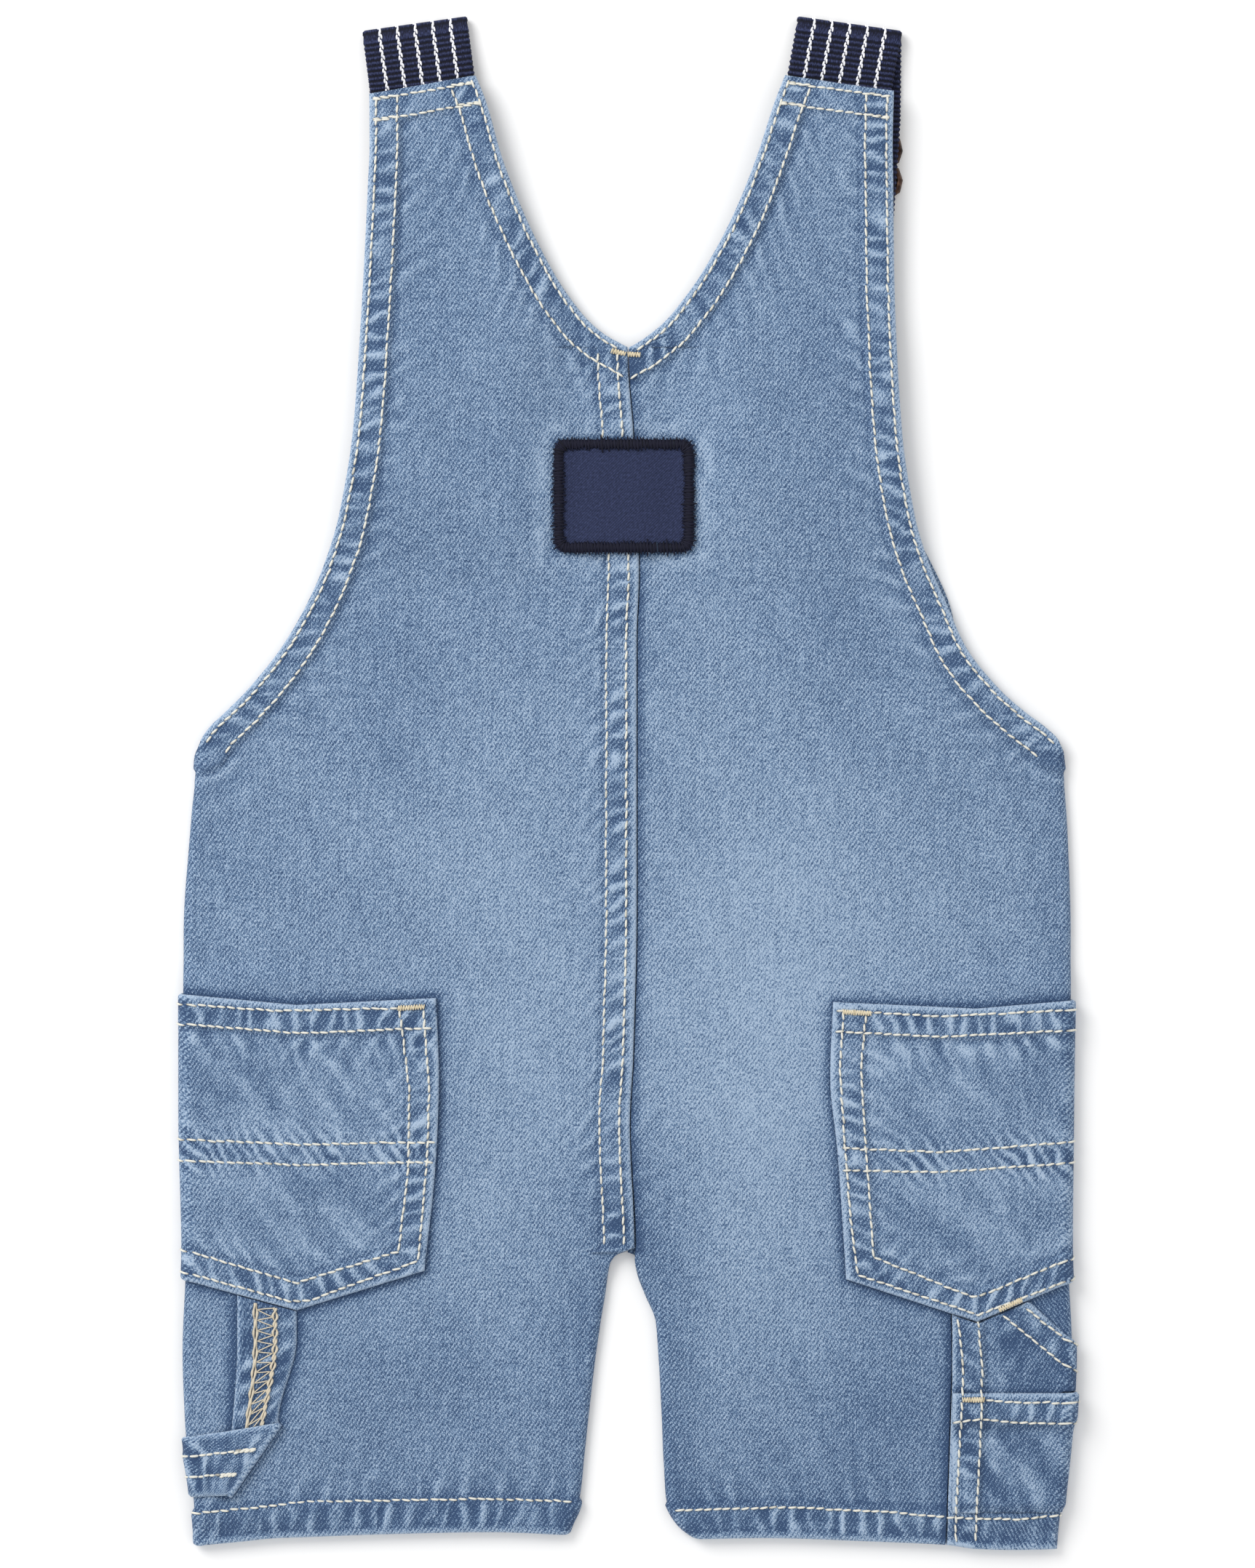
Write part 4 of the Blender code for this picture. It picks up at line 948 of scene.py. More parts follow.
def front_lift(side, out, y):
    """The same for the front, whose lap and leg hem stand up only where they are on the back."""
    fold = flat_outer(side, y)
    folded = 2 * fold + HALF_TURN - out
    on_back = ramp(out, fold + HALF_TURN / 2, fold + HALF_TURN)
    leg = y - leg_bottom(side, out, y)
    hem = BAND * band(leg, LEG_HEM) * on_back
    relief, fading_and_shading = roped_hem(leg, out, 61, LEG_HEM, 0.12)
    relief = relief * on_back
    if side > 0:
        hem = np.maximum(hem, lap_rise(folded, y) * on_back)
        lap = np.where(y < OUTSEAM_TOP, folded - outseam(y) - GAP, FAR)
        lap_relief, lap_fading_and_shading = roped_hem(lap, y, 67, HEM_WIDTH, 0.4)
        relief = relief + lap_relief * on_back * 0.8
        fading_and_shading = fading_and_shading + (lap_fading_and_shading + 0.5 * bell(lap, 2.2)) * on_back
        edge = np.minimum(np.maximum(lap, 0), np.maximum(leg, 0))
        hem = hem + rounded(edge) * on_back * (hem > 0.4)
        # Painted shade on the leg cloth above the tool pocket's slanted opening
        behind = ramp(y, tool_top(folded) - 1.0, tool_top(folded) + 0.5) * ramp(folded, 110.0, 118.0)
        fading_and_shading = fading_and_shading - 0.75 * behind * on_back
    return hem + relief, fading_and_shading


def make_front(side, name):
    rows = spaced_rows(HEM_Y, FRONT_TOP, (CROTCH, CROTCH + 0.7))[:: 1 if side > 0 else 2]
    if rows[-1] < FRONT_TOP:
        rows = np.append(rows, FRONT_TOP)
    out = front_columns(side, rows)
    y = end_fitted(side, out, np.repeat(rows[:, None], out.shape[1], axis=1))
    fitted(lambda heights: front_columns(side, heights), out, y)
    lift, fading_and_shading = front_lift(side, out, y)
    places = np.stack([side * out, y], axis=-1)
    fold = flat_outer(side, y)
    seen = np.where(out > fold + HALF_TURN, 2 * fold + HALF_TURN - out, np.minimum(out, fold))
    fading_and_shading = fading_and_shading + wash_and_shade(side * seen, y)
    held = "folded" if side > 0 else "laid"
    sewn(name, *panel_faces(side, -1, out, y, lift), places, fading_and_shading, denim, held, ["table"])


for side, word in SIDES.items():
    make_front(side, f"front_{word}")

# %% [markdown]
# The bib lies under the back. Only a thread of its edge shows beside the armhole, so it is one
# plain grid that follows its solid.

# %% Bib
BIB_ROWS = 61
BIB_COLUMNS = 90


def make_bib():
    rows = np.linspace(BIB_EDGE[0][0], BIB_EDGE[-1][0], BIB_ROWS)
    share = np.linspace(-1, 1, BIB_COLUMNS)
    y = np.repeat(rows[:, None], len(share), axis=1)
    x = share * np.where(share > 0, bib_edge[1](y), bib_edge[-1](y))
    right, left = (face_height(sign, -1, np.abs(x), y) for sign in (1, -1))
    heights = np.where(share > 0, right, left)
    under = np.stack([x, y, heights], axis=-1)
    above = np.stack([x, y, heights + WALL], axis=-1)
    places = np.stack([x, y], axis=-1)
    sewn("bib", under, above, places, wash_and_shade(x, y) * 0.5, denim, "laid", ["table"])


make_bib()
for side, word in SIDES.items():
    make_back(side, f"back_{word}")

# %% [markdown]
# The back pockets. Each is a pointed patch that reaches round the side fold. It is made from the
# back's own places, raised by one wall, so it follows the fold. Its top hem is the thickest and
# its turned edges are worn pale, with a dark line of shade where they drop to the cloth below.

# %% Back pockets
BAND_DIES = (1.0, 3.5)
EDGE_SHARE = 0.7
POCKET_MIDDLE_Y = -105.0
POCKET_ROWS = 86
# Height of the pair of lines across a pocket's middle
POCKET_MIDDLE_LINES = {-1: (-107.9, -114.1), 1: (-110.6, -116.9)}


def before_fold(side, out, y):
    return 1 - ramp(out - flat_outer(side, y), *BAND_DIES)


def pocket_lift(side, out, y):
    """(height of a pocket's face over the plain back, its fading and painted shading)."""
    top = pocket_top[side](out) - y
    foot = y - pocket_bottom[side](out)
    seam = out - pocket_side[side](y)
    nearest = np.minimum.reduce([top, foot, seam])
    hems = np.maximum(band(top, HEM_WIDTH), EDGE_SHARE * band(np.minimum(foot, seam), HEM_WIDTH))
    relief = np.zeros_like(out)
    fading_and_shading = np.zeros_like(out)
    for distance, along, seed, slant in ((top, out, 81, -0.2), (foot, out, 83, -0.45), (seam, y, 87, 0.35)):
        own_relief, own_fading_and_shading = roped_hem(distance, along, seed + side, HEM_WIDTH, slant)
        relief += 0.8 * own_relief
        fading_and_shading += own_fading_and_shading
    high, low = POCKET_MIDDLE_LINES[side]
    tuck = (high + low) / 2
    x = side * out
    wave = ridges(x, y - tuck, 0.8, 91 + side, 4.4)
    near_tuck = bell(y - tuck, 6.5)
    relief += 0.3 * wave * near_tuck - 0.12 * (bell(y - high, 1.1) + bell(y - low, 1.1))
    # The tuck's ridges pale the cloth, partly worn and partly painted shading of the puckers
    fading_and_shading += 2.0 * wave * near_tuck - 0.2 * bell(y - tuck, 2.4) + 0.05
    creases = ridges(x, y, 0.5, 97 + side, 7.0) * trail(top - HEM_WIDTH, 9.0)
    creases = creases * ramp(top, HEM_WIDTH - 0.5, HEM_WIDTH + 2)
    relief += 0.25 * creases
    inside = ramp(nearest, HEM_WIDTH - 1.0, HEM_WIDTH + 3.0)
    slanted = drift(x + 0.8 * y, 0.45 * y - 0.3 * x, 5.0, 93 + side)
    # The creases pale the cloth the same way, partly worn and partly painted shading
    fading_and_shading += 1.1 * creases + 0.45 * slanted * inside
    billow = 0.5 * drift(out, y, 22.0, 95 + side) * ramp(nearest, 9.0, 20.0)
    raised = (POCKET_BAND * hems + relief + billow) * before_fold(side, out, y)
    return GAP + WALL + raised + rounded(np.maximum(nearest, 0), 0.9), fading_and_shading


def pocket_columns(side, y):
    start = pocket_side[side](y)[:, None]
    fold = flat_outer(side, y)[:, None]
    apex = POCKET_ENDS[side][1][0]
    first = start + HEM_STEPS
    before = first[:, -1:] + (apex - first[:, -1:]) * np.arange(1, 36) / 36
    after = apex + (fold - apex) * np.arange(0, 35) / 34
    turned = fold + np.linspace(0.6, HALF_TURN, 11)
    under = fold + HALF_TURN + UNDER_TURN * np.arange(1, 5) / 4
    return np.concatenate([first, before, after, turned, under], axis=1)


def make_pocket(side, name):
    hem_rows = len(HEM_STEPS)
    rows = np.concatenate([HEM_STEPS, np.zeros(POCKET_ROWS), HEM_STEPS[::-1]])
    out = np.repeat(pocket_columns(side, np.array([POCKET_MIDDLE_Y])), len(rows), axis=0)
    for step in range(2):
        low = pocket_bottom[side](out)
        high = pocket_top[side](out)
        y = low + rows[:, None]
        y[-hem_rows:] = high[-hem_rows:] - rows[-hem_rows:, None]
        share = (np.arange(1, POCKET_ROWS + 1) / (POCKET_ROWS + 1))[:, None]
        first, last = y[hem_rows - 1], y[-hem_rows]
        y[hem_rows:-hem_rows] = first + (last - first) * share
        if step == 0:
            fitted(lambda heights: pocket_columns(side, heights), out, y)
    lift, fading_and_shading = pocket_lift(side, out, y)
    outer = skin(side, 1, out, y, lift)
    inner = skin(side, 1, out, y, GAP)
    places = np.stack([side * out, y], axis=-1)
    fold = flat_outer(side, y)
    fading_and_shading = fading_and_shading + 0.7 * wash_and_shade(side * np.minimum(out, fold), y)
    sewn(name, outer, inner, places, fading_and_shading, denim, "laid", [f"back_{SIDES[side]}_cloth"])


for side, word in SIDES.items():
    make_pocket(side, f"back_pocket_{word}")

# %% [markdown]
# The tool pocket on the right leg has two layers. The upper one has a slanted opening beside the
# back pocket, and the lower one is a patch over it that runs into the leg's hem.

# %% Tool pocket
TOOL_START = 98.2
TOOL_MOUTH = -184.0
TOOL_FOOT = -220.4
TOOL_MIDDLE_Y = -175.0
TOOL_OVERLAP = 5.0
TOOL_OVERLAP_ENDS = (-5.0, -0.5)
TOOL_CLIMB = (-196.5, -191.0)
TOOL_CLIMB_ENDS = (0.9, 5.7)
TOOL_UNDER = 4.0
SLANT_FROM = 121.4


def slant_distance(out, y):
    """How far below the slanted opening's edge a place is."""
    lean = math.atan2(TOOL_TOP[3][1] - TOOL_TOP[2][1], TOOL_TOP[3][0] - TOOL_TOP[2][0])
    below = (tool_top(np.maximum(out, SLANT_FROM)) - y) * math.cos(lean)
    return np.where(out > SLANT_FROM - 8, below, FAR)


def upper_lift(out, y):
    lap = out - TOOL_START
    relief, fading_and_shading = roped_hem(lap, y, 101, HEM_WIDTH, 0.4)
    slanted = slant_distance(out, y)
    own_relief, own_fading_and_shading = roped_hem(slanted, out, 103, 8.0, 0.3)
    edge = np.minimum(np.maximum(slanted, 0), 9)
    lift = lap_rise(out, TOOL_MOUTH) + GAP + WALL + rounded(edge, 0.8) * (out > SLANT_FROM)
    blotch = drift(out + 0.6 * y, 0.5 * y, 6.0, 104)
    fading_and_shading = fading_and_shading + own_fading_and_shading + 0.45 * bell(lap, 1.6) - 0.3 + 0.8 * blotch
    # Painted shadow along the lower patch's top edge
    fading_and_shading = fading_and_shading - 0.9 * bell(y - TOOL_MOUTH, 1.5)
    return lift + 0.7 * (relief + own_relief) * before_fold(1, out, y), fading_and_shading


def lower_base(out, y):
    """Height of the lower patch's underside, which climbs onto the upper layer."""
    over = ramp(y, *TOOL_CLIMB) * (1 - ramp(out - flat_outer(1, y), *TOOL_CLIMB_ENDS))
    return lap_rise(out, y) + GAP + (WALL + GAP) * over


def lower_lift(out, y):
    top = TOOL_MOUTH - y
    lap = out - TOOL_START
    hem = POCKET_BAND * band(top, HEM_WIDTH)
    relief, fading_and_shading = roped_hem(top, out, 107, HEM_WIDTH, 0.3)
    own_relief, own_fading_and_shading = roped_hem(lap, y, 109, HEM_WIDTH, 0.4)
    foot = y - TOOL_FOOT
    wave = ridges(out, foot, 0.4, 113, 7.0) * np.exp(-foot / 7.0)
    lift = lower_base(out, y) + WALL + rounded(np.maximum(top, 0), 0.9)
    lift = lift + (hem + 0.8 * relief + 0.7 * own_relief + 0.3 * wave) * before_fold(1, out, y)
    blotch = drift(out + 0.6 * y, 0.5 * y, 6.5, 112) * ramp(top, HEM_WIDTH - 1, HEM_WIDTH + 2)
    # The foot's ridges pale the cloth, partly worn and partly painted shading
    fading_and_shading = fading_and_shading + own_fading_and_shading + 0.5 * bell(lap, 1.8) + 0.7 * wave - 0.1 + 0.9 * blotch
    lift = lift - ramp(-foot, -2.5, 0.0) * 0.9
    return lift, fading_and_shading


def tool_columns(y):
    fold = flat_outer(1, y)[:, None]
    first = TOOL_START + np.array([0, 0.4, 0.9, 1.6, 2.6, 3.8, 5.2, 6.6, 7.9, 8.5, 9.1, 9.8])
    first = np.repeat(first[None], len(y), axis=0)
    middle = first[:, -1:] + (fold - first[:, -1:]) * np.arange(1, 23) / 22
    turned = fold + np.linspace(0.6, HALF_TURN, 11)
    under = fold + HALF_TURN + TOOL_UNDER * np.arange(1, 4) / 3
    return np.concatenate([first, middle, turned, under], axis=1)


def make_tool_piece(name, lift_of, low_of, high_of, rows_count):
    share = np.linspace(0, 1, rows_count)
    out = np.repeat(tool_columns(np.array([TOOL_MIDDLE_Y])), rows_count, axis=0)
    for _ in range(2):
        low = low_of(out)
        y = low + (high_of(out) - low) * share[:, None]
        fitted(tool_columns, out, y)
    lift, fading_and_shading = lift_of(out, y)
    outer = skin(1, 1, out, y, lift)
    base = lower_base(out, y) if lift_of is lower_lift else lap_rise(out, TOOL_MOUTH) + GAP
    inner = skin(1, 1, out, y, np.minimum(base, lift - 0.25))
    places = np.stack([out, y], axis=-1)
    fading_and_shading = fading_and_shading + 0.7 * wash_and_shade(np.minimum(out, flat_outer(1, y)), y)
    sewn(name, outer, inner, places, fading_and_shading, denim, "laid", ["front_right_cloth"])


def upper_low(out):
    past = out - flat_outer(1, TOOL_MIDDLE_Y)
    return TOOL_MOUTH + GAP - TOOL_OVERLAP * (1 - ramp(past, *TOOL_OVERLAP_ENDS))


make_tool_piece("tool_pocket_upper", upper_lift, upper_low, tool_top, 36)
lower_low, lower_high = (lambda out, y=y: np.full_like(out, y) for y in (TOOL_FOOT, TOOL_MOUTH))
make_tool_piece("tool_pocket_lower", lower_lift, lower_low, lower_high, 48)

# %% [markdown]
# The hammer loop is a narrow folded strip. It hangs from the pocket with its wrong side out, so
# the coverstitch's looping threads show, then turns over on a slanted crease and runs to the side
# seam right side out.

# %% Hammer loop
LOOP_WIDTH = 18.0
# Length of its run down from the pocket, and of its run to the side
LOOP_DOWN = 38.0
LOOP_ASIDE = 30.0
LOOP_TURN_RADIUS = 0.9
LOOP_WAY = math.radians(9.3)
LOOP_SETTLES = (121.5, 126.0)
LOOP_END_TURN = math.radians(85)
LOOP_LOW = GAP + WALL / 2
LOOP_HIGH = LOOP_LOW + 2 * LOOP_TURN_RADIUS
loop_lean = math.atan2(LOOP_FOLD[1][1] - LOOP_FOLD[0][1], LOOP_FOLD[1][0] - LOOP_FOLD[0][0])


def on_crease(across):
    """The place on the slanted crease at this share of the strip's width."""
    return [LOOP_FOLD[0][k] + across * (LOOP_FOLD[1][k] - LOOP_FOLD[0][k]) for k in (0, 1)]


def loop_hanging(across, share, half):
    """Points of the run down, from the fold (share 0) to the pocket (share 1)."""
    across, share, half = np.broadcast_arrays(across, share, half)
    fold_out, fold_y = on_crease(across)
    top_out = LOOP_TOP[0] + across * (LOOP_TOP[1] - LOOP_TOP[0])
    top_y = pocket_bottom[-1](top_out) - GAP
    out = fold_out + (top_out - fold_out) * ramp(share, 0.0, LOOP_NARROWS)
    return skin(-1, 1, out, fold_y + (top_y - fold_y) * share, LOOP_LOW + half)


def loop_turning(across, turn, half):
    across, turn, half = np.broadcast_arrays(across, turn, half)
    fold_out, fold_y = on_crease(across)
    reach = (LOOP_TURN_RADIUS - half) * np.sin(turn)
    lift = LOOP_LOW + LOOP_TURN_RADIUS - (LOOP_TURN_RADIUS - half) * np.cos(turn)
    out = fold_out + reach * math.sin(loop_lean)
    return skin(-1, 1, out, fold_y - reach * math.cos(loop_lean), lift)


def loop_sideways(across, share, half):
    """Points of the run to the side, from the fold (share 0) to the side seam (share 1)."""
    across, share, half = np.broadcast_arrays(across, share, half)
    fold_out, fold_y = on_crease(across)
    end = flat_outer(-1, fold_y) + ARC_RADIUS * LOOP_END_TURN
    out = fold_out + (end - fold_out) * share
    y = fold_y - (out - fold_out) * math.tan(LOOP_WAY) * (1 - 0.5 * across)
    middle = LOOP_HIGH + (LOOP_LOW - LOOP_HIGH) * ramp(out, *LOOP_SETTLES)
    return skin(-1, 1, out, y, middle - half)


def loop_relief(across, along, seed, slant):
    """Relief and fading of the strip: soft cross ridges, pale partly from wear and partly as painted
    shading, and pale folded edges.
    """
    edge = np.minimum(across, 1 - across) * LOOP_WIDTH
    wave = ridges(along, across * LOOP_WIDTH, slant, seed, 7.0)
    inside = ramp(edge, 0.6, 2.6)
    fading_and_shading = (1.6 * wave + 0.9 * drift(along, across * LOOP_WIDTH, 4.0, seed + 9)) * inside
    return 0.26 * wave * inside + rounded(edge, 0.9), fading_and_shading + 1.8 * bell(edge, 0.9) - 0.5


def down_relief(across, share):
    return loop_relief(across, share * LOOP_DOWN, 131, 0.1)


def aside_relief(across, share):
    return loop_relief(across, share * LOOP_ASIDE, 137, 0.5)


def make_hammer_loop(name):
    across = np.linspace(0, 1, 25)[None]
    half = WALL / 2
    down = np.linspace(1, 0.02, 40)[:, None]
    turn = np.linspace(0, math.pi, 9)[:, None]
    aside = np.linspace(0.05, 1, 30)[:, None]
    down_raised, down_fading_and_shading = down_relief(across, down)
    aside_raised, aside_fading_and_shading = aside_relief(across, aside)
    grids = []
    for face, down_more, aside_more in ((half, down_raised, 0), (-half, 0, -aside_raised)):
        runs = (
            loop_hanging(across, down, face + down_more),
            loop_turning(across, turn, face),
            loop_sideways(across, aside, face + aside_more),
        )
        grids.append(np.concatenate(runs))
    lengths = np.concatenate([-down * LOOP_DOWN, turn * LOOP_TURN_RADIUS, 3.0 + aside * LOOP_ASIDE])
    places = np.stack(np.broadcast_arrays(across * LOOP_WIDTH, lengths), axis=-1)
    turn_fading = np.full((len(turn), across.shape[1]), 0.5)
    fading_and_shading = np.concatenate([down_fading_and_shading - 0.25, turn_fading, aside_fading_and_shading - 0.1])
    sewn(name, *grids, places, fading_and_shading, denim, "folded", ["back_left_cloth"])


make_hammer_loop("hammer_loop")

# %% [markdown]
# Thread. Topstitching on jeans is a thick cotton-wrapped polyester thread, cream here. Each stitch
# is a short piece that comes up through the cloth, lies on it and goes down again, so it is
# modelled as one, and hundreds of them are joined into one object.

# %% Thread pieces
STITCH = 2.86
THREAD = 0.32
THREAD_SIDES = 6
# A stitch's ends are painted dark, the shade where it goes down into its hole
SUNK_SHADE_TONES = np.array([-0.85, -0.28, 0.02, 0.02, -0.28, -0.85])
THREAD_HEX = "#dfddd2"
TACK_HEX = "#dcd0b4"
# The painted shade of a needle hole, the darkest tone of every thread
THREAD_HOLE_SHADE_HEX = "#2c3a50"
# How thick a short thread is along its length, for its radius
TAPER = np.array([0.6, 0.95, 1.1, 0.95, 0.6])


def spun_thread(name, colour, shade):
    """Spun topstitching thread: matt, with two plies, a slightly uneven colour and painted shade at its
    darkest tones, where it sinks into a hole.
    """
    material, tree, shader = started(name, 0.75, 0.25)
    tone = add(tree, "ShaderNodeAttribute", {"attribute_name": "tone"})
    hair = noise(tree, (add(tree, "ShaderNodeTexCoord"), 3), 2200.0)
    mixed = maths(tree, "MULTIPLY_ADD", hair, 0.5, (tone, 2))
    coloured(tree, shader, mixed, ((0.0, THREAD_HOLE_SHADE_HEX), (0.3, shade), (0.62, colour)))
    roughened(tree, shader, hair, 0.5, 0.1)
    return material


cream_thread = spun_thread("cream_spun_thread", THREAD_HEX, "#b7b4a8")
tack_thread = spun_thread("beige_tack_thread", TACK_HEX, "#b5a88a")
cover_thread = spun_thread("beige_coverstitch_thread", "#cec4b0", "#9c9280")


def thread_piece(name, bundles, material):
    """Joins bundles of thread pieces: (centres S x R x 3, ups S x R x 3, radii R, tones S)."""
    points, quads, tones = [], [], []
    start = 0
    for centres, ups, radii, tone in bundles:
        count, rings = centres.shape[:2]
        ways = unit(np.gradient(centres, axis=1))
        aside = unit(np.cross(ways, ups))
        up = np.cross(aside, ways)
        angles = np.arange(THREAD_SIDES) * 2 * math.pi / THREAD_SIDES
        spread = np.cos(angles)[:, None] * aside[:, :, None] + np.sin(angles)[:, None] * up[:, :, None]
        made = centres[:, :, None] + np.asarray(radii)[None, :, None, None] * spread
        points.append(made.reshape(-1, 3))
        index = start + np.arange(count * rings * THREAD_SIDES).reshape(count, rings, THREAD_SIDES)
        turned = np.roll(index, -1, axis=2)
        sides = np.stack([index[:, :-1], turned[:, :-1], turned[:, 1:], index[:, 1:]], -1)
        quads += sides.reshape(-1, 4).tolist()
        quads += index[:, 0, ::-1].tolist() + index[:, -1].tolist()
        tone = np.broadcast_to(np.reshape(tone, (count, -1)), (count, rings))
        tones.append(np.repeat(tone.ravel(), THREAD_SIDES))
        start += count * rings * THREAD_SIDES
    piece = mesh_piece(name, np.concatenate(points), quads, material)
    value = piece.data.attributes.new("tone", "FLOAT", "POINT")
    value.data.foreach_set("value", np.concatenate(tones).astype(np.float32))
    print(name, "faces:", len(quads))


def measured(line, step):
    """(how many steps fit a line, its length up to each point, its points)."""
    line = np.asarray(line, float)
    lengths = lengths_along(line)
    return max(int(round(lengths[-1] / step)), 1), lengths, line


def at(line, lengths, distance):
    return np.stack([np.interp(distance, lengths, line[:, k]) for k in (0, 1)], axis=-1)


def way_at(line, lengths, distance, reach):
    return unit(at(line, lengths, distance + reach) - at(line, lengths, distance - reach))


def strands(top, first, second, rise):
    """Middle points and up directions of threads that lie this high on a face."""
    centres = top(first, second, rise)
    return centres, top(first, second, rise + 1.0) - centres


def stitches(line, top, seed, pitch=STITCH, radius=THREAD, wobble=0.07, length=0.97):
    """One bundle of stitches along a line of places, on the face that `top` gives.

    top(out, y, extra) gives points on the face, raised by extra.
    """
    chance = np.random.default_rng(seed)
    count, lengths, line = measured(line, pitch)
    step = lengths[-1] / count
    begin = (np.arange(count) + (1 - length) / 2 + chance.uniform(-0.08, 0.08, count)) * step
    share = np.array([0.0, 0.13, 0.3, 0.7, 0.87, 1.0])
    distance = begin[:, None] + step * length * share
    middle = at(line, lengths, distance)
    shift = chance.normal(0, wobble, (count, 1))
    shift = shift + (share - 0.5) * chance.normal(0.3, wobble * 1.6, (count, 1))
    middle = middle + shift[..., None] * leftward(way_at(line, lengths, distance, 0.3))
    rise = radius * np.array([-0.75, 0.1, 0.7, 0.7, 0.1, -0.75])
    centres, ups = strands(top, middle[..., 0], middle[..., 1], rise)
    radii = radius * np.array([0.5, 0.8, 1.05, 1.05, 0.8, 0.5])
    # Painted shade at both ends of each stitch, where it sinks into the cloth
    tones = chance.normal(0.44, 0.1, (count, 1)) + SUNK_SHADE_TONES
    return centres, ups, radii, tones


def zigzag_across(middle, way, wide, lean, share):
    """Places of short threads that cross a line, each this wide and leaning along it."""
    across = (wide * share)[..., None] * leftward(way)[:, None]
    return middle[:, None] + across + (lean * share)[..., None] * way[:, None]


def tack(line, top, seed, width=1.5, pitch=0.36, radius=0.19):
    """A bar tack: threads laid close together across a short line of places."""
    chance = np.random.default_rng(seed)
    count, lengths, line = measured(line, pitch)
    distance = np.linspace(0, lengths[-1], count)
    way = way_at(line, lengths, distance, 0.2)
    share = np.array([-0.5, -0.4, 0.0, 0.4, 0.5])
    wide = width * (1 + chance.normal(0, 0.08, (count, 1)))
    lean = chance.normal(0, 0.12, (count, 1)) + 0.25 * np.where(np.arange(count) % 2, 1, -1)[:, None]
    spot = zigzag_across(at(line, lengths, distance), way, wide, lean, share)
    rise = np.array([-0.1, 0.35, 0.6, 0.35, -0.1]) + 0.1
    centres, ups = strands(top, spot[..., 0], spot[..., 1], rise)
    return centres, ups, radius * TAPER, chance.normal(0.45, 0.15, count)


# %% [markdown]
# The seams. A double-needle machine sews the hems with two lines a quarter of an inch apart, and
# its stitches are 2.9 mm long. Each line below is measured from the edge it follows.

# %% Faces for the thread to lie on
FIRST_LINE = 2.0
SECOND_LINE = 8.4


def back_top(side):
    return lambda out, y, extra: skin(side, 1, out, y, back_lift(side, out, y)[0] + extra)


def pocket_face(side):
    return lambda out, y, extra: skin(side, 1, out, y, pocket_lift(side, out, y)[0] + extra)


def leg_top(out, y, extra):
    """The top of the right leg outside the outseam: lap, tool pocket layers or hem."""
    fold = flat_outer(1, y)
    lap = front_lift(1, 2 * fold + HALF_TURN - out, y)[0]
    upper = upper_lift(out, y)[0]
    lower = lower_lift(out, y)[0]
    on_tool = out >= TOOL_START - 0.2
    lift = np.where((y < tool_top(out)) & (y > TOOL_MOUTH) & on_tool, upper, lap)
    lift = np.where((y <= TOOL_MOUTH) & (y > TOOL_FOOT) & on_tool, lower, lift)
    return skin(1, 1, out, y, lift + extra)


# %% [markdown]
# Two lines follow each neck edge, armhole, shoulder and the centre seam, and one closes each leg
# hem. A line starts and ends just inside the cloth, and the shoulder lines are locked at both ends
# with a few stitches sewn twice.

# %% Topstitching
NECK_LINES = (1.8, SECOND_LINE)
ARMHOLE_LINES = (FIRST_LINE, SECOND_LINE)
SHOULDER_LINES = (2.2, 8.6)
CENTRE_LINES = (3.2, 9.2)
# Out distance of the shoulder lines' ends, on the left and on the right
SHOULDER_SPAN = {-1: (46.6, 76.8), 1: (48.6, 79.3)}
# Heights between which the patch covers the centre lines
CENTRE_GAP = (70.2, 103.8)


def straight_line(*points):
    """Places along straight runs between a few points, close enough to follow the cloth."""
    made = []
    for first, last in zip(points[:-1], points[1:]):
        count = max(int(math.dist(first, last) / 2), 1)
        for k in range(count):
            made.append([a + (b - a) * k / count for a, b in zip(first, last)])
    return np.array(made + [list(points[-1])])


def below_shoulder(side, line):
    return shoulder_end[side](line[:, 0]) - line[:, 1] > 0.8


cream_bundles = []
tack_bundles = []
seed = 1000
for side in SIDES:
    top = back_top(side)
    for distance in NECK_LINES:
        line = beside(edge_line(inner_edge, side, V_POINT + 0.3, 213.0, 160), -distance)
        way = line[0] - line[4]
        share = np.linspace((line[0][0] - (3.6 if distance < 5 else 1.0)) / -way[0], 0, 8, endpoint=False)
        line = np.concatenate([line[0] + np.maximum(share, 0)[:, None] * way, line])
        nearest = 2.4 if distance < 5 else 0.9
        line = line[(line[:, 0] > nearest) & below_shoulder(side, line)]
        cream_bundles.append(stitches(line, top, seed))
        seed += 1
    for distance in ARMHOLE_LINES:
        line = beside(edge_line(outer_edge, side, UNDERARM + 0.5, 208.0, 160), distance)
        line = line[below_shoulder(side, line) & (line[:, 0] < back_ends(side, line[:, 1])[1] - 1.2)]
        cream_bundles.append(stitches(line, top, seed))
        seed += 1
    for distance in SHOULDER_LINES:
        start, end = SHOULDER_SPAN[side]
        out = np.linspace(start - (distance - SHOULDER_LINES[0]) * 0.42, end, 24)
        line = np.stack([out, shoulder_end[side](out) - distance], axis=-1)
        cream_bundles.append(stitches(line, top, seed))
        for ends in (line[:6], line[-6:]):
            cream_bundles.append(stitches(ends + (0.0, 0.35), top, seed + 50, pitch=2.2))
        seed += 1
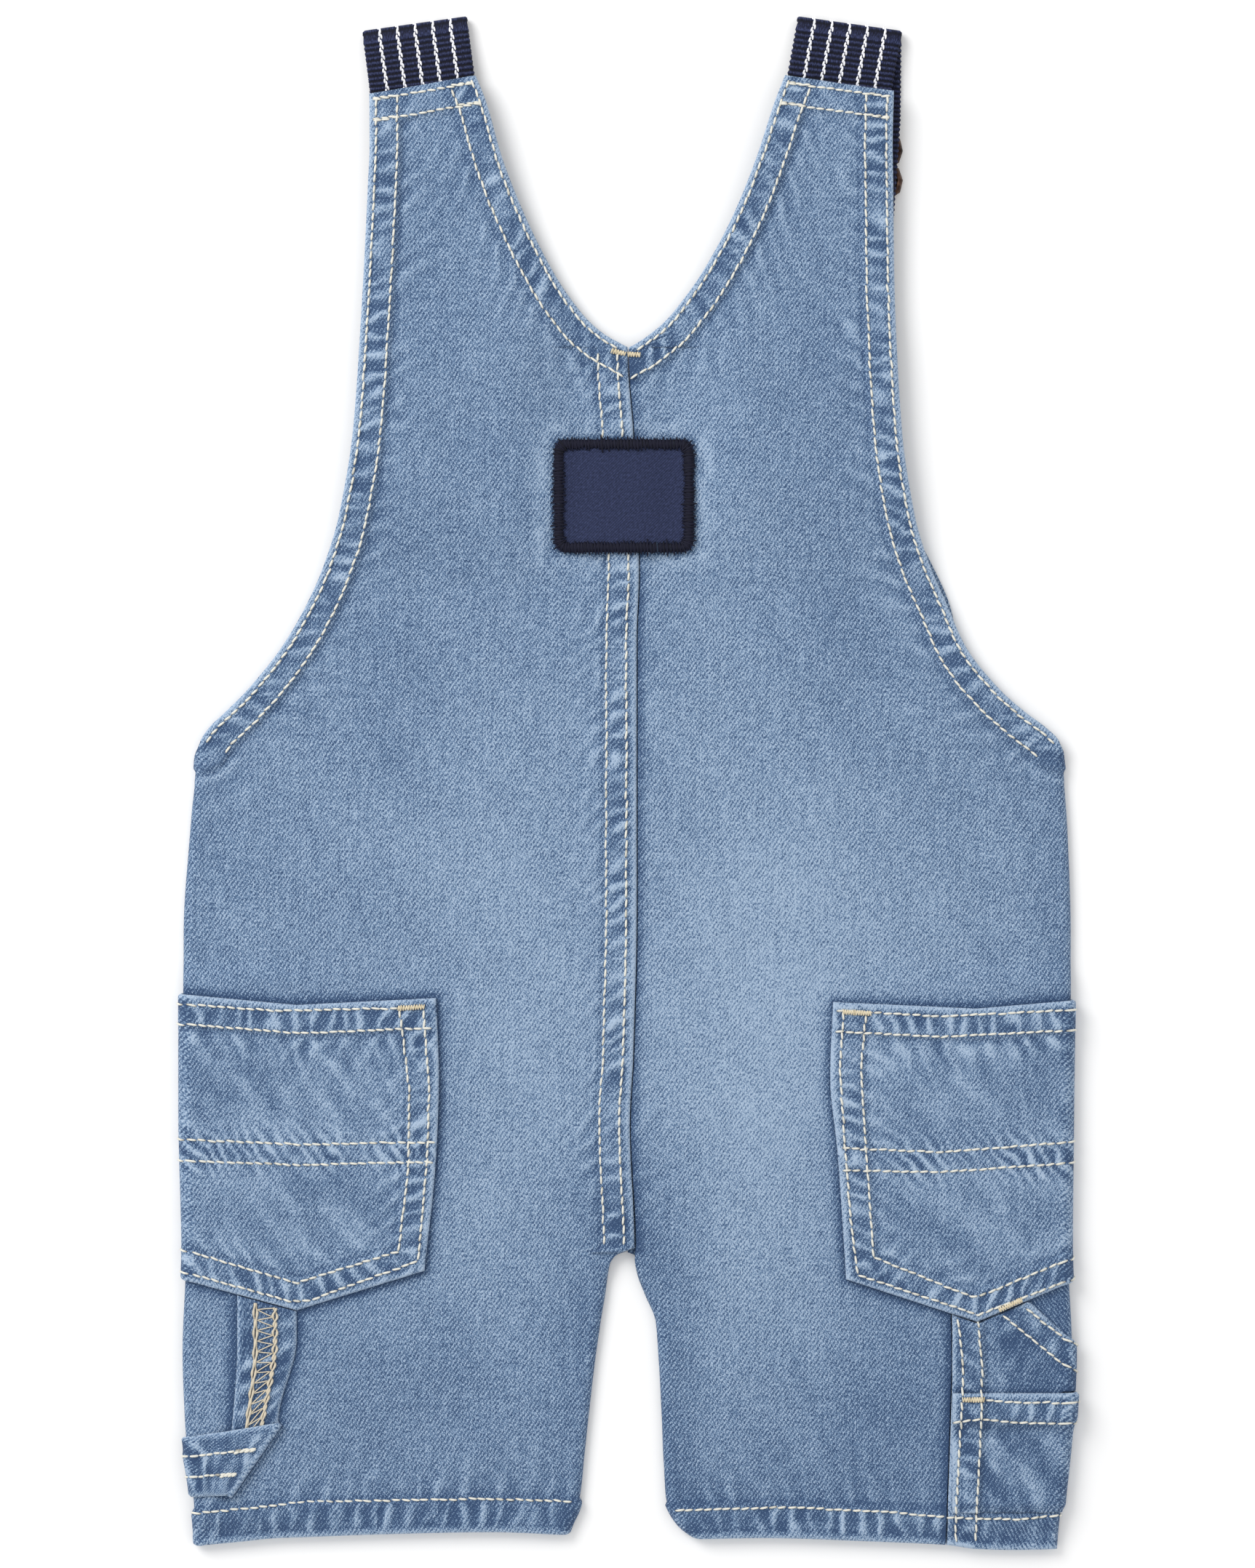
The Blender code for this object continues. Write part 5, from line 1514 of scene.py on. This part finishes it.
# Out distance and height of the leg hem's line, on the left and on the right
HEM_LINES = {
    -1: ((16.8, -217.1), (44.2, -216.3), (97.7, -217.2), (131.4, -220.6)),
    1: ((14.6, -219.8), (48.0, -218.8), (76.8, -220.1), (96.0, -221.7)),
}
for side, points in HEM_LINES.items():
    cream_bundles.append(stitches(straight_line(*points), back_top(side), seed + side))
centre_rows = np.linspace(CROTCH + 2.5, V_POINT - 1.5, 220)
for distance in CENTRE_LINES:
    line = np.stack([inner_edge[-1](centre_rows) + distance, centre_rows], axis=-1)
    for run in (line[centre_rows < CENTRE_GAP[0]], line[centre_rows > CENTRE_GAP[1]]):
        cream_bundles.append(stitches(run, back_top(-1), seed, pitch=3.0))
        seed += 1
print("lines so far:", len(cream_bundles))

# %% [markdown]
# The lines on the pockets and on the right leg were read off the photograph, from a few pixels
# along each one. Bar tacks, short rows of tight zigzag, hold the corners that take the strain.

# %% Pocket stitching
# Places in photo pixels from the reference: lines across, down and along the pointed foot
PIXEL_ORIGIN = (862.0, 1077.5)


def on_photo(*pixels):
    """Places on the cloth, as out distance and height, from pixels of the photograph."""
    middle, level = PIXEL_ORIGIN
    return [(abs(px - middle) * MM_PER_PIXEL, (level - py) * MM_PER_PIXEL) for px, py in pixels]


POCKET_LINES = {
    -1: (
        ((246, 1380), (379, 1389), (549, 1386)),
        ((246, 1407), (411, 1420), (594, 1413)),
        ((582, 1388), (590, 1499), (587, 1595), (575, 1733)),
        ((549, 1388), (563, 1499), (561, 1611), (548, 1720)),
        ((246, 1566), (411, 1573), (598, 1570)),
        ((246, 1595), (411, 1601), (596, 1597)),
        ((252, 1717), (408, 1763), (548, 1720)),
        ((252, 1747), (399, 1788), (427, 1787), (575, 1733)),
    ),
    1: (
        ((1148, 1389), (1291, 1397), (1474, 1388)),
        ((1148, 1418), (1291, 1425), (1474, 1416)),
        ((1159, 1391), (1154, 1468), (1160, 1563), (1169, 1675), (1178, 1751)),
        ((1190, 1394), (1183, 1468), (1190, 1582), (1196, 1659), (1200, 1728)),
        ((1156, 1578), (1291, 1584), (1476, 1569)),
        ((1158, 1609), (1291, 1611), (1476, 1598)),
        ((1200, 1728), (1336, 1782), (1349, 1780), (1475, 1727)),
        ((1178, 1752), (1344, 1807), (1475, 1756)),
    ),
}
TACKS = {
    -1: (((548, 1386), (583, 1384)),),
    1: (((1159, 1391), (1196, 1393)), ((1373, 1800), (1403, 1786))),
}
for side, lines in POCKET_LINES.items():
    for pixels in lines:
        line = straight_line(*on_photo(*pixels))
        cream_bundles.append(stitches(line, pocket_face(side), seed))
        seed += 1
    for pixels in TACKS[side]:
        tack_bundles.append(tack(straight_line(*on_photo(*pixels)), pocket_face(side), seed))
        seed += 1
LEG_LINES = (
    ((1316, 1812), (1323, 1880), (1322, 1918)),
    ((1343, 1812), (1349, 1880), (1348, 1921)),
    ((1321, 1925), (1318, 1990), (1314, 2060), (1313, 2120)),
    ((1348, 1925), (1346, 1990), (1342, 2060), (1341, 2120)),
    ((1409, 1797), (1478, 1853)),
    ((1377, 1807), (1478, 1889)),
    ((1352, 1923), (1400, 1926), (1481, 1927)),
    ((1308, 1953), (1349, 1949), (1400, 1954), (1477, 1956)),
    ((1300, 2086), (1340, 2087), (1400, 2088), (1466, 2082)),
)
for pixels in LEG_LINES:
    cream_bundles.append(stitches(straight_line(*on_photo(*pixels)), leg_top, seed))
    seed += 1
tack_bundles.append(tack(straight_line(*on_photo((1322, 1922), (1351, 1922))), leg_top, seed))

# %% [markdown]
# The point of the neck has its own tack. The hammer loop's right side has two lines of stitches,
# and its wrong side shows the coverstitch: two chains of looping thread with a zigzag between.

# %% Neck tack, loop lines and coverstitch
CHAIN_PITCH = 4.4
ZIGZAGS = 30
tack_bundles.append(tack(straight_line((0.3, 129.9), (3.8, 129.7)), back_top(1), 7))
tack_bundles.append(tack(straight_line((0.6, 130.0), (4.6, 130.9)), back_top(-1), 8))


def loop_aside_top(across, share, extra):
    return loop_sideways(across, share, -WALL / 2 - aside_relief(across, share)[0] - extra)


def loop_down_top(across, share, extra):
    return loop_hanging(across, share, WALL / 2 + down_relief(across, share)[0] + extra)


def strip_stitches(across, shares, seed, pitch, radius, lean=0.0):
    """Stitches on the run to the side, whose places are shares of its width and its length."""
    chance = np.random.default_rng(seed)
    count = max(int(abs(shares[1] - shares[0]) * LOOP_ASIDE / pitch), 1)
    begin = np.linspace(shares[0], shares[1], count, endpoint=False)
    share = np.array([0.0, 0.15, 0.5, 0.85, 1.0])
    along = begin[:, None] + share * 0.9 * (shares[1] - shares[0]) / count
    shift = (share - 0.5) * lean / LOOP_WIDTH + chance.normal(0, 0.08, (count, 1)) / LOOP_WIDTH
    rise = radius * np.array([-0.9, 0.3, 0.8, 0.3, -0.9])
    centres, ups = strands(loop_aside_top, across + shift, along, rise)
    return centres, ups, radius * TAPER, chance.normal(0.45, 0.13, count)


def chain(across, strand, apart, swing):
    """One strand of a two-strand chain down the loop, swinging from side to side."""
    share = np.linspace(0.04, 0.985, 260)
    phase = 2 * math.pi * share * LOOP_DOWN / CHAIN_PITCH + strand
    aside = math.copysign(apart, math.cos(strand)) + swing * np.cos(phase)
    rise = 0.32 + 0.2 * np.sin(phase)
    centres, ups = strands(loop_down_top, across + aside / LOOP_WIDTH, share, rise)
    radii = 0.34 * (1 + 0.22 * np.cos(2 * phase))
    # Tone follows the rise: painted light where the strand rides high and painted shade where it dips
    return centres[None], ups[None], radii, 0.42 + 0.2 * np.sin(phase)[None]


for across, begin in ((0.34, 0.06), (0.68, 0.12)):
    cream_bundles.append(strip_stitches(across, (begin, 1.0), 301, 2.8, 0.34))
    cream_bundles.append(strip_stitches(across + 0.02, (begin, begin + 0.28), 302, 1.9, 0.4, 0.5))
# Share of the strip's width, then how far apart the two strands lie and how far they swing
cover_bundles = []
for across, apart, swing in ((0.36, 0.16, 0.5), (0.69, 0.34, 0.22)):
    cover_bundles += [chain(across, strand, apart, swing) for strand in (0, math.pi)]
points_along = 7 * ZIGZAGS + 1
corners = np.where(np.arange(ZIGZAGS + 1) % 2, 0.66, 0.39)
zigzag = np.interp(np.linspace(0, ZIGZAGS, points_along), np.arange(ZIGZAGS + 1), corners)
share = np.linspace(0.05, 0.98, points_along)
centres, ups = strands(loop_down_top, zigzag, share, np.full(points_along, 0.28))
cover_bundles.append((centres[None], ups[None], np.full(points_along, 0.17), np.array([0.7])))

thread_piece("topstitching", cream_bundles, cream_thread)
thread_piece("bar_tacks", tack_bundles, tack_thread)
thread_piece("hammer_loop_coverstitch", cover_bundles, cover_thread)

# %% [markdown]
# The straps are woven webbing: a thick weft makes cross ribs 1.6 mm apart, and five pairs of white
# yarns float over them. The ribs are in the mesh and the white yarns are thread pieces.

# %% Straps
WEBBING_WIDTH = 31.75
WEBBING_WALL = 1.5
STRAP_FRONT = (
    (123.5, 4.35),
    (131.0, 4.35),
    (140.0, 1.9),
    (147.0, 0.75),
    (166.0, 0.75),
    (173.0, 3.05),
    (199.0, 3.05),
    (206.5, 0.95),
    (212.0, 0.75),
    (226.0, 0.75),
)
STRAP_BACK = ((201.0, 5.05), (212.0, 4.3), (226.0, 3.15))
STRAP_LINE = ((118.0, 59.0, 60.5), (187.0, 60.3, 65.8), (208.0, 61.8, 67.0), (229.0, 64.2, 67.3))
STRAP_BACK_LINE = ((201.0, 60.4, 62.2), (229.0, 64.3, 67.3))
STRAP_TILT = math.radians(8.0)
STRAP_TILT_LOW = 0.35
STRAP_TILT_RISE = (195.0, 222.0)
STRAP_FOLD_REACH = 2.2
RIB_PITCH = 1.62
RIB_HEIGHT = 0.5
STRIPE_PITCH = 5.4
STRIPE_RADIUS = 0.29
STRIPE_TAPER = np.array([0.6, 0.95, 1.05, 0.95, 0.6])
STRIPE_RISE = np.array([-0.02, 0.16, 0.26, 0.16, -0.02])
NAVY_HEX = "#141830"
WHITE_YARN_HEX = "#f0f0f4"
strap_line = by_side(STRAP_LINE)
strap_back_line = by_side(STRAP_BACK_LINE, straight)
front_height = smooth(STRAP_FRONT, 1)
back_height = smooth(STRAP_BACK, 1)


def strap_path(side, step):
    """Middle points of a strap, each with its way along Y and Z and its length so far."""
    (low, _), (fold, front_end) = STRAP_FRONT[0], STRAP_FRONT[-1]
    radius = (STRAP_BACK[-1][1] - front_end) / 2
    turn = np.linspace(-math.pi / 2, math.pi / 2, max(int(math.pi * radius / step), 6))
    y_front = np.arange(low, fold, step)
    y_turn = fold + STRAP_FOLD_REACH + radius * np.cos(turn)
    y_back = np.arange(fold, STRAP_BACK[0][0], -step)
    y = np.concatenate([y_front, y_turn, y_back])
    z_turn = front_end + radius + radius * np.sin(turn)
    z = np.concatenate([front_height(y_front), z_turn, back_height(y_back)])
    lines = (strap_line[side](y_front), strap_line[side](y_turn), strap_back_line[side](y_back))
    way = unit(np.stack([np.gradient(y), np.gradient(z)], axis=-1))
    return side * np.concatenate(lines), y, z, way, lengths_along(np.stack([y, z], axis=-1))


def strap_points(side, path, across, lift):
    """Points on a strap: across is millimetres from its middle, lift from its middle layer."""
    x, y, z, way, _ = path
    tilt = -side * STRAP_TILT * (STRAP_TILT_LOW + (1 - STRAP_TILT_LOW) * ramp(y, *STRAP_TILT_RISE))
    across, lift = np.broadcast_arrays(across, lift)
    made_x = x[:, None] + across * np.cos(tilt)[:, None]
    made_y = y[:, None] + across * np.sin(tilt)[:, None] + lift * way[:, 1:]
    return np.stack([made_x, made_y, z[:, None] - lift * way[:, :1]], axis=-1)


def on_table(points, least):
    """Points no lower than this over the table, where the strap's own weight flattens it."""
    points[..., 2] = np.maximum(points[..., 2], least)
    return points


def ribbed_webbing(name):
    """Polyester webbing: deep navy, with painted highlight on the crown of each rib and painted shade
    between the ribs.
    """
    material, tree, shader = started(name, 0.7, 0.2)
    place = add(tree, "ShaderNodeUVMap", {"uv_map": "cloth"})
    yarn = noise(tree, stretched(tree, place, 0.5, RIB_PITCH), 1.6, 3.0)
    crown = add(tree, "ShaderNodeAttribute", {"attribute_name": "fading_and_shading"})
    tone = maths(tree, "MULTIPLY_ADD", (crown, 2), 1.1, yarn)
    coloured(tree, shader, tone, ((0.3, "#060815"), (0.55, NAVY_HEX), (0.85, "#3a4267")))
    roughened(tree, shader, yarn, 0.6, 0.2)
    return material


webbing = ribbed_webbing("navy_ribbed_webbing")
white_yarn = spun_thread("white_webbing_yarn", WHITE_YARN_HEX, "#b4b7c8")


def make_strap(side, name):
    path = strap_path(side, 0.4)
    length = path[4]
    selvedge = (0.46, 0.485, 0.5)
    across = [-share for share in selvedge[::-1]] + list(np.linspace(-0.42, 0.42, 17)) + list(selvedge)
    across = np.array(across)[None] * WEBBING_WIDTH
    rib = RIB_HEIGHT * (np.abs(np.cos(math.pi * length / RIB_PITCH)) - 0.6)[:, None]
    edge = WEBBING_WIDTH / 2 - np.abs(across)
    thick = WEBBING_WALL / 2 + rib + rounded(edge, 0.7) * 0.9
    scallop = 0.2 * np.cos(2 * math.pi * length / RIB_PITCH)[:, None]
    across = across + scallop * np.sign(across) * (edge < 0.3)
    outer = on_table(strap_points(side, path, across, thick), 0.02)
    inner = on_table(strap_points(side, path, across, -thick), 0.02)
    places = np.stack(np.broadcast_arrays(across, length[:, None]), axis=-1)
    # The ribs' height, for painted highlight on their crowns and painted shade between them
    crown = np.broadcast_to(rib, places.shape[:2])
    back = [f"back_{SIDES[side]}_cloth"]
    sewn(name, outer, inner, places, crown, webbing, "folded", back, "webbing", "webbing")
    bundles = []
    share = np.array([0.0, 0.2, 0.5, 0.8, 1.0])
    count = int(length[-1] / RIB_PITCH) - 1
    swing = np.where(np.arange(count) % 2, 0.14, -0.14)[:, None]
    for stripe in range(-2, 3):
        for yarn in (-1, 1):
            begin = (np.arange(count) + 0.5 + 0.25 * yarn) * RIB_PITCH
            along = begin[:, None] + share * RIB_PITCH * 0.86
            route = [np.interp(along.ravel(), length, values) for values in (*path[:3], *path[3].T)]
            route = (*route[:3], np.stack(route[3:], -1), along.ravel())
            middle = stripe * STRIPE_PITCH + yarn * 0.24 + 0.1 * yarn * (2 * share - 1) + swing
            rise = np.broadcast_to(STRIPE_RISE, along.shape).reshape(-1, 1)
            centres = strap_points(side, route, middle.reshape(-1, 1), WEBBING_WALL / 2 + rise)
            ups = strap_points(side, route, middle.reshape(-1, 1), WEBBING_WALL / 2 + rise + 1) - centres
            centres = on_table(centres, 0.32).reshape(count, -1, 3)
            tone = np.random.default_rng(stripe + 9).normal(0.5, 0.1, count)
            bundles.append((centres, ups.reshape(count, -1, 3), STRIPE_RADIUS * STRIPE_TAPER, tone))
    thread_piece(name + "_stripes", bundles, white_yarn)


for side, word in SIDES.items():
    make_strap(side, f"strap_{word}")

# %% [markdown]
# The patch over the centre seam is a plain navy twill with an overlocked border. It bends over the
# seam's raised lap.

# %% Patch
PATCH_WALL = 1.0
PATCH_LAP = (-17.0, -7.6, 3.2, 15.0)
PATCH_ROUND = 3.0
PATCH_RIB = 0.6
OVERLOCK_RADIUS = 0.27
OVERLOCK_INSET = 1.3
PATCH_HEX = "#2c3350"
OVERLOCK_HEX = "#121326"


def patch_lift(x, y):
    on_lap = ramp(x, PATCH_LAP[0], PATCH_LAP[1]) * (1 - ramp(x, PATCH_LAP[2], PATCH_LAP[3]))
    return GAP + (BAND + 0.1) * on_lap + 0.22 * drift(x, y, 11.0, 171)


def patch_top(x, y, extra):
    heights = face_height(1, 1, np.abs(x), y)
    return np.stack(np.broadcast_arrays(x, y, heights + patch_lift(x, y) + PATCH_WALL + extra), axis=-1)


def patch_outline(inset, count=260):
    """Points round the patch, with round corners."""
    half_x = PATCH_SIZE[0] / 2 - inset
    half_y = PATCH_SIZE[1] / 2 - inset
    corner = PATCH_ROUND - inset * 0.5
    made = []
    for quarter, (sign_x, sign_y) in enumerate(((1, 1), (-1, 1), (-1, -1), (1, -1))):
        for k in range(9):
            turn = math.pi / 2 * (quarter + k / 8)
            x = sign_x * (half_x - corner) + corner * math.cos(turn)
            y = sign_y * (half_y - corner) + corner * math.sin(turn)
            made.append((PATCH_CENTRE[0] + x, PATCH_CENTRE[1] + y))
    made = np.array(made + made[:1])
    lengths = lengths_along(made)
    return at(made, lengths, np.linspace(0, lengths[-1], count + 1)), lengths[-1]


def navy_twill(name):
    """A tightly woven polyester twill, flat and dark, with a fine slanted rib."""
    material, tree, shader = started(name, 0.9, 0.2)
    place = add(tree, "ShaderNodeUVMap", {"uv_map": "cloth"})
    rib = vectors(tree, "DOT_PRODUCT", place, (0.7, -0.7, 0))
    wave = maths(tree, "SINE", maths(tree, "MULTIPLY", (rib, 1), 2 * math.pi / PATCH_RIB))
    mixed = maths(tree, "MULTIPLY_ADD", wave, 0.12, noise(tree, place, 1.4, 3.0))
    coloured(tree, shader, mixed, ((0.25, "#20263d"), (0.55, PATCH_HEX), (0.85, "#3e4667")))
    roughened(tree, shader, wave, 0.4, 0.15)
    return material


def make_patch(name):
    share_x = np.linspace(-1, 1, 85)
    share_y = np.linspace(-1, 1, 69)
    across, up = np.meshgrid(share_x, share_y)
    half_x, half_y = PATCH_SIZE[0] / 2, PATCH_SIZE[1] / 2
    from_corner_x = np.maximum(np.abs(across) * half_x - (half_x - PATCH_ROUND), 0)
    from_corner_y = np.maximum(np.abs(up) * half_y - (half_y - PATCH_ROUND), 0)
    reach = np.hypot(from_corner_x, from_corner_y)
    square = np.maximum(np.maximum(from_corner_x, from_corner_y), TINY)
    in_corner = (from_corner_x > 0) & (from_corner_y > 0)
    pull = np.where(in_corner, square / np.maximum(reach, TINY), 1.0)
    x = across * half_x - np.sign(across) * from_corner_x * (1 - pull)
    y = up * half_y - np.sign(up) * from_corner_y * (1 - pull)
    edge = PATCH_ROUND - np.where(in_corner, square, np.maximum(from_corner_x, from_corner_y))
    x, y = x + PATCH_CENTRE[0], y + PATCH_CENTRE[1]
    outer = patch_top(x, y, -0.1 + rounded(edge, 0.8))
    inner = patch_top(x, y, -PATCH_WALL)
    places = np.stack([x, y], axis=-1)
    twill = navy_twill("navy_polyester_twill")
    backs = ["back_left_cloth", "back_right_cloth"]
    sewn(name, outer, inner, places, np.zeros_like(x), twill, "laid", backs, "patch_cloth")
    bundles = []
    for layer, (pitch, seed) in enumerate(((0.42, 181), (1.05, 182))):
        count = int(patch_outline(0)[1] / pitch)
        middle = patch_outline(OVERLOCK_INSET, count)[0][:-1]
        way = unit(np.roll(middle, -1, axis=0) - np.roll(middle, 1, axis=0))
        chance = np.random.default_rng(seed)
        share = np.array([-0.5, -0.38, 0.0, 0.38, 0.5])
        wide = (2.6 + 1.2 * layer) * (1 + chance.normal(0, 0.14, (len(middle), 1)))
        lean = chance.normal(0.35 if layer else -0.2, 0.25, (len(middle), 1))
        spot = zigzag_across(middle, way, -wide, lean, share)
        rise = np.array([0.05, 0.35, 0.5, 0.2, -0.9]) + 0.12 * layer
        centres, ups = strands(patch_top, spot[..., 0], spot[..., 1], rise)
        bundles.append((centres, ups, OVERLOCK_RADIUS * TAPER, chance.normal(0.4, 0.15, len(middle))))
    overlock = spun_thread("navy_overlock_thread", OVERLOCK_HEX, "#080916")
    thread_piece("patch_overlock", bundles, overlock)


make_patch("label_patch")

# %% [markdown]
# Antique bronze on steel wire. The plating is brown with rubbed, brighter high places.

# %% Hardware
def antique_bronze(name):
    material, tree, shader = started(name, 0.38)
    worn = noise(tree, (add(tree, "ShaderNodeTexCoord"), 3), 420.0, 4.0)
    coloured(tree, shader, worn, ((0.3, "#2c211d"), (0.55, "#584339"), (0.8, "#97775f")))
    rough = add(tree, "ShaderNodeMapRange", {}, {"Value": worn, "To Min": 0.5, "To Max": 0.28})
    tree.links.new(rough.outputs[0], shader.inputs["Roughness"])
    shader.inputs["Metallic"].default_value = 1.0
    return material


bronze = antique_bronze("antique_bronze_plating")
for name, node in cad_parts.items():
    if name.startswith(("slider", "buckle", "button")):
        for place in node.material_slots:
            place.material = bronze
        node.data.shade_smooth()

# %% [markdown]
# A plain white table and soft light: a bright grey sky all round, and one large lamp at the upper
# left that gives each seam its thin shadow to the right and below.

# %% Table and light
TABLE_HEX = "#f6f6f6"
TABLE_SIZE_M = 8.0
TABLE_DROP_M = 0.0003
SKY_STRENGTH = 0.86
LAMP_WIDTH_M = 1.1
LAMP_WATTS = 19.0
LAMP_PLACE_M = (-1.0, 0.9, 1.25)

table_material, _, table_shader = started("white_table", 0.9, 0.1)
table_shader.inputs["Base Color"].default_value = linear(TABLE_HEX)
bpy.ops.mesh.primitive_plane_add(size=TABLE_SIZE_M, location=(0, 0, -TABLE_DROP_M))
table = bpy.context.object
table.name = "table"
table.data.materials.append(table_material)

world = bpy.data.worlds.new("soft_sky")
world.use_nodes = True
sky = world.node_tree.nodes["Background"]
sky.inputs["Color"].default_value = (1, 1, 1, 1)
sky.inputs["Strength"].default_value = SKY_STRENGTH
bpy.context.scene.world = world
lamp_data = bpy.data.lights.new("window", "AREA")
lamp_data.shape = "DISK"
lamp_data.size = LAMP_WIDTH_M
lamp_data.energy = LAMP_WATTS
lamp = bpy.data.objects.new("window", lamp_data)
lamp.location = LAMP_PLACE_M
lamp.rotation_euler = (-lamp.location.normalized()).to_track_quat("-Z", "Y").to_euler()
bpy.context.scene.collection.objects.link(lamp)
# Colours are matched to the photograph's own sRGB values
bpy.context.scene.view_settings.view_transform = "Standard"

# %% Sizes, then the end
for name, width, length, area in cuts:
    print("cut", name, width, "x", length, "mm,", area, "mm2")
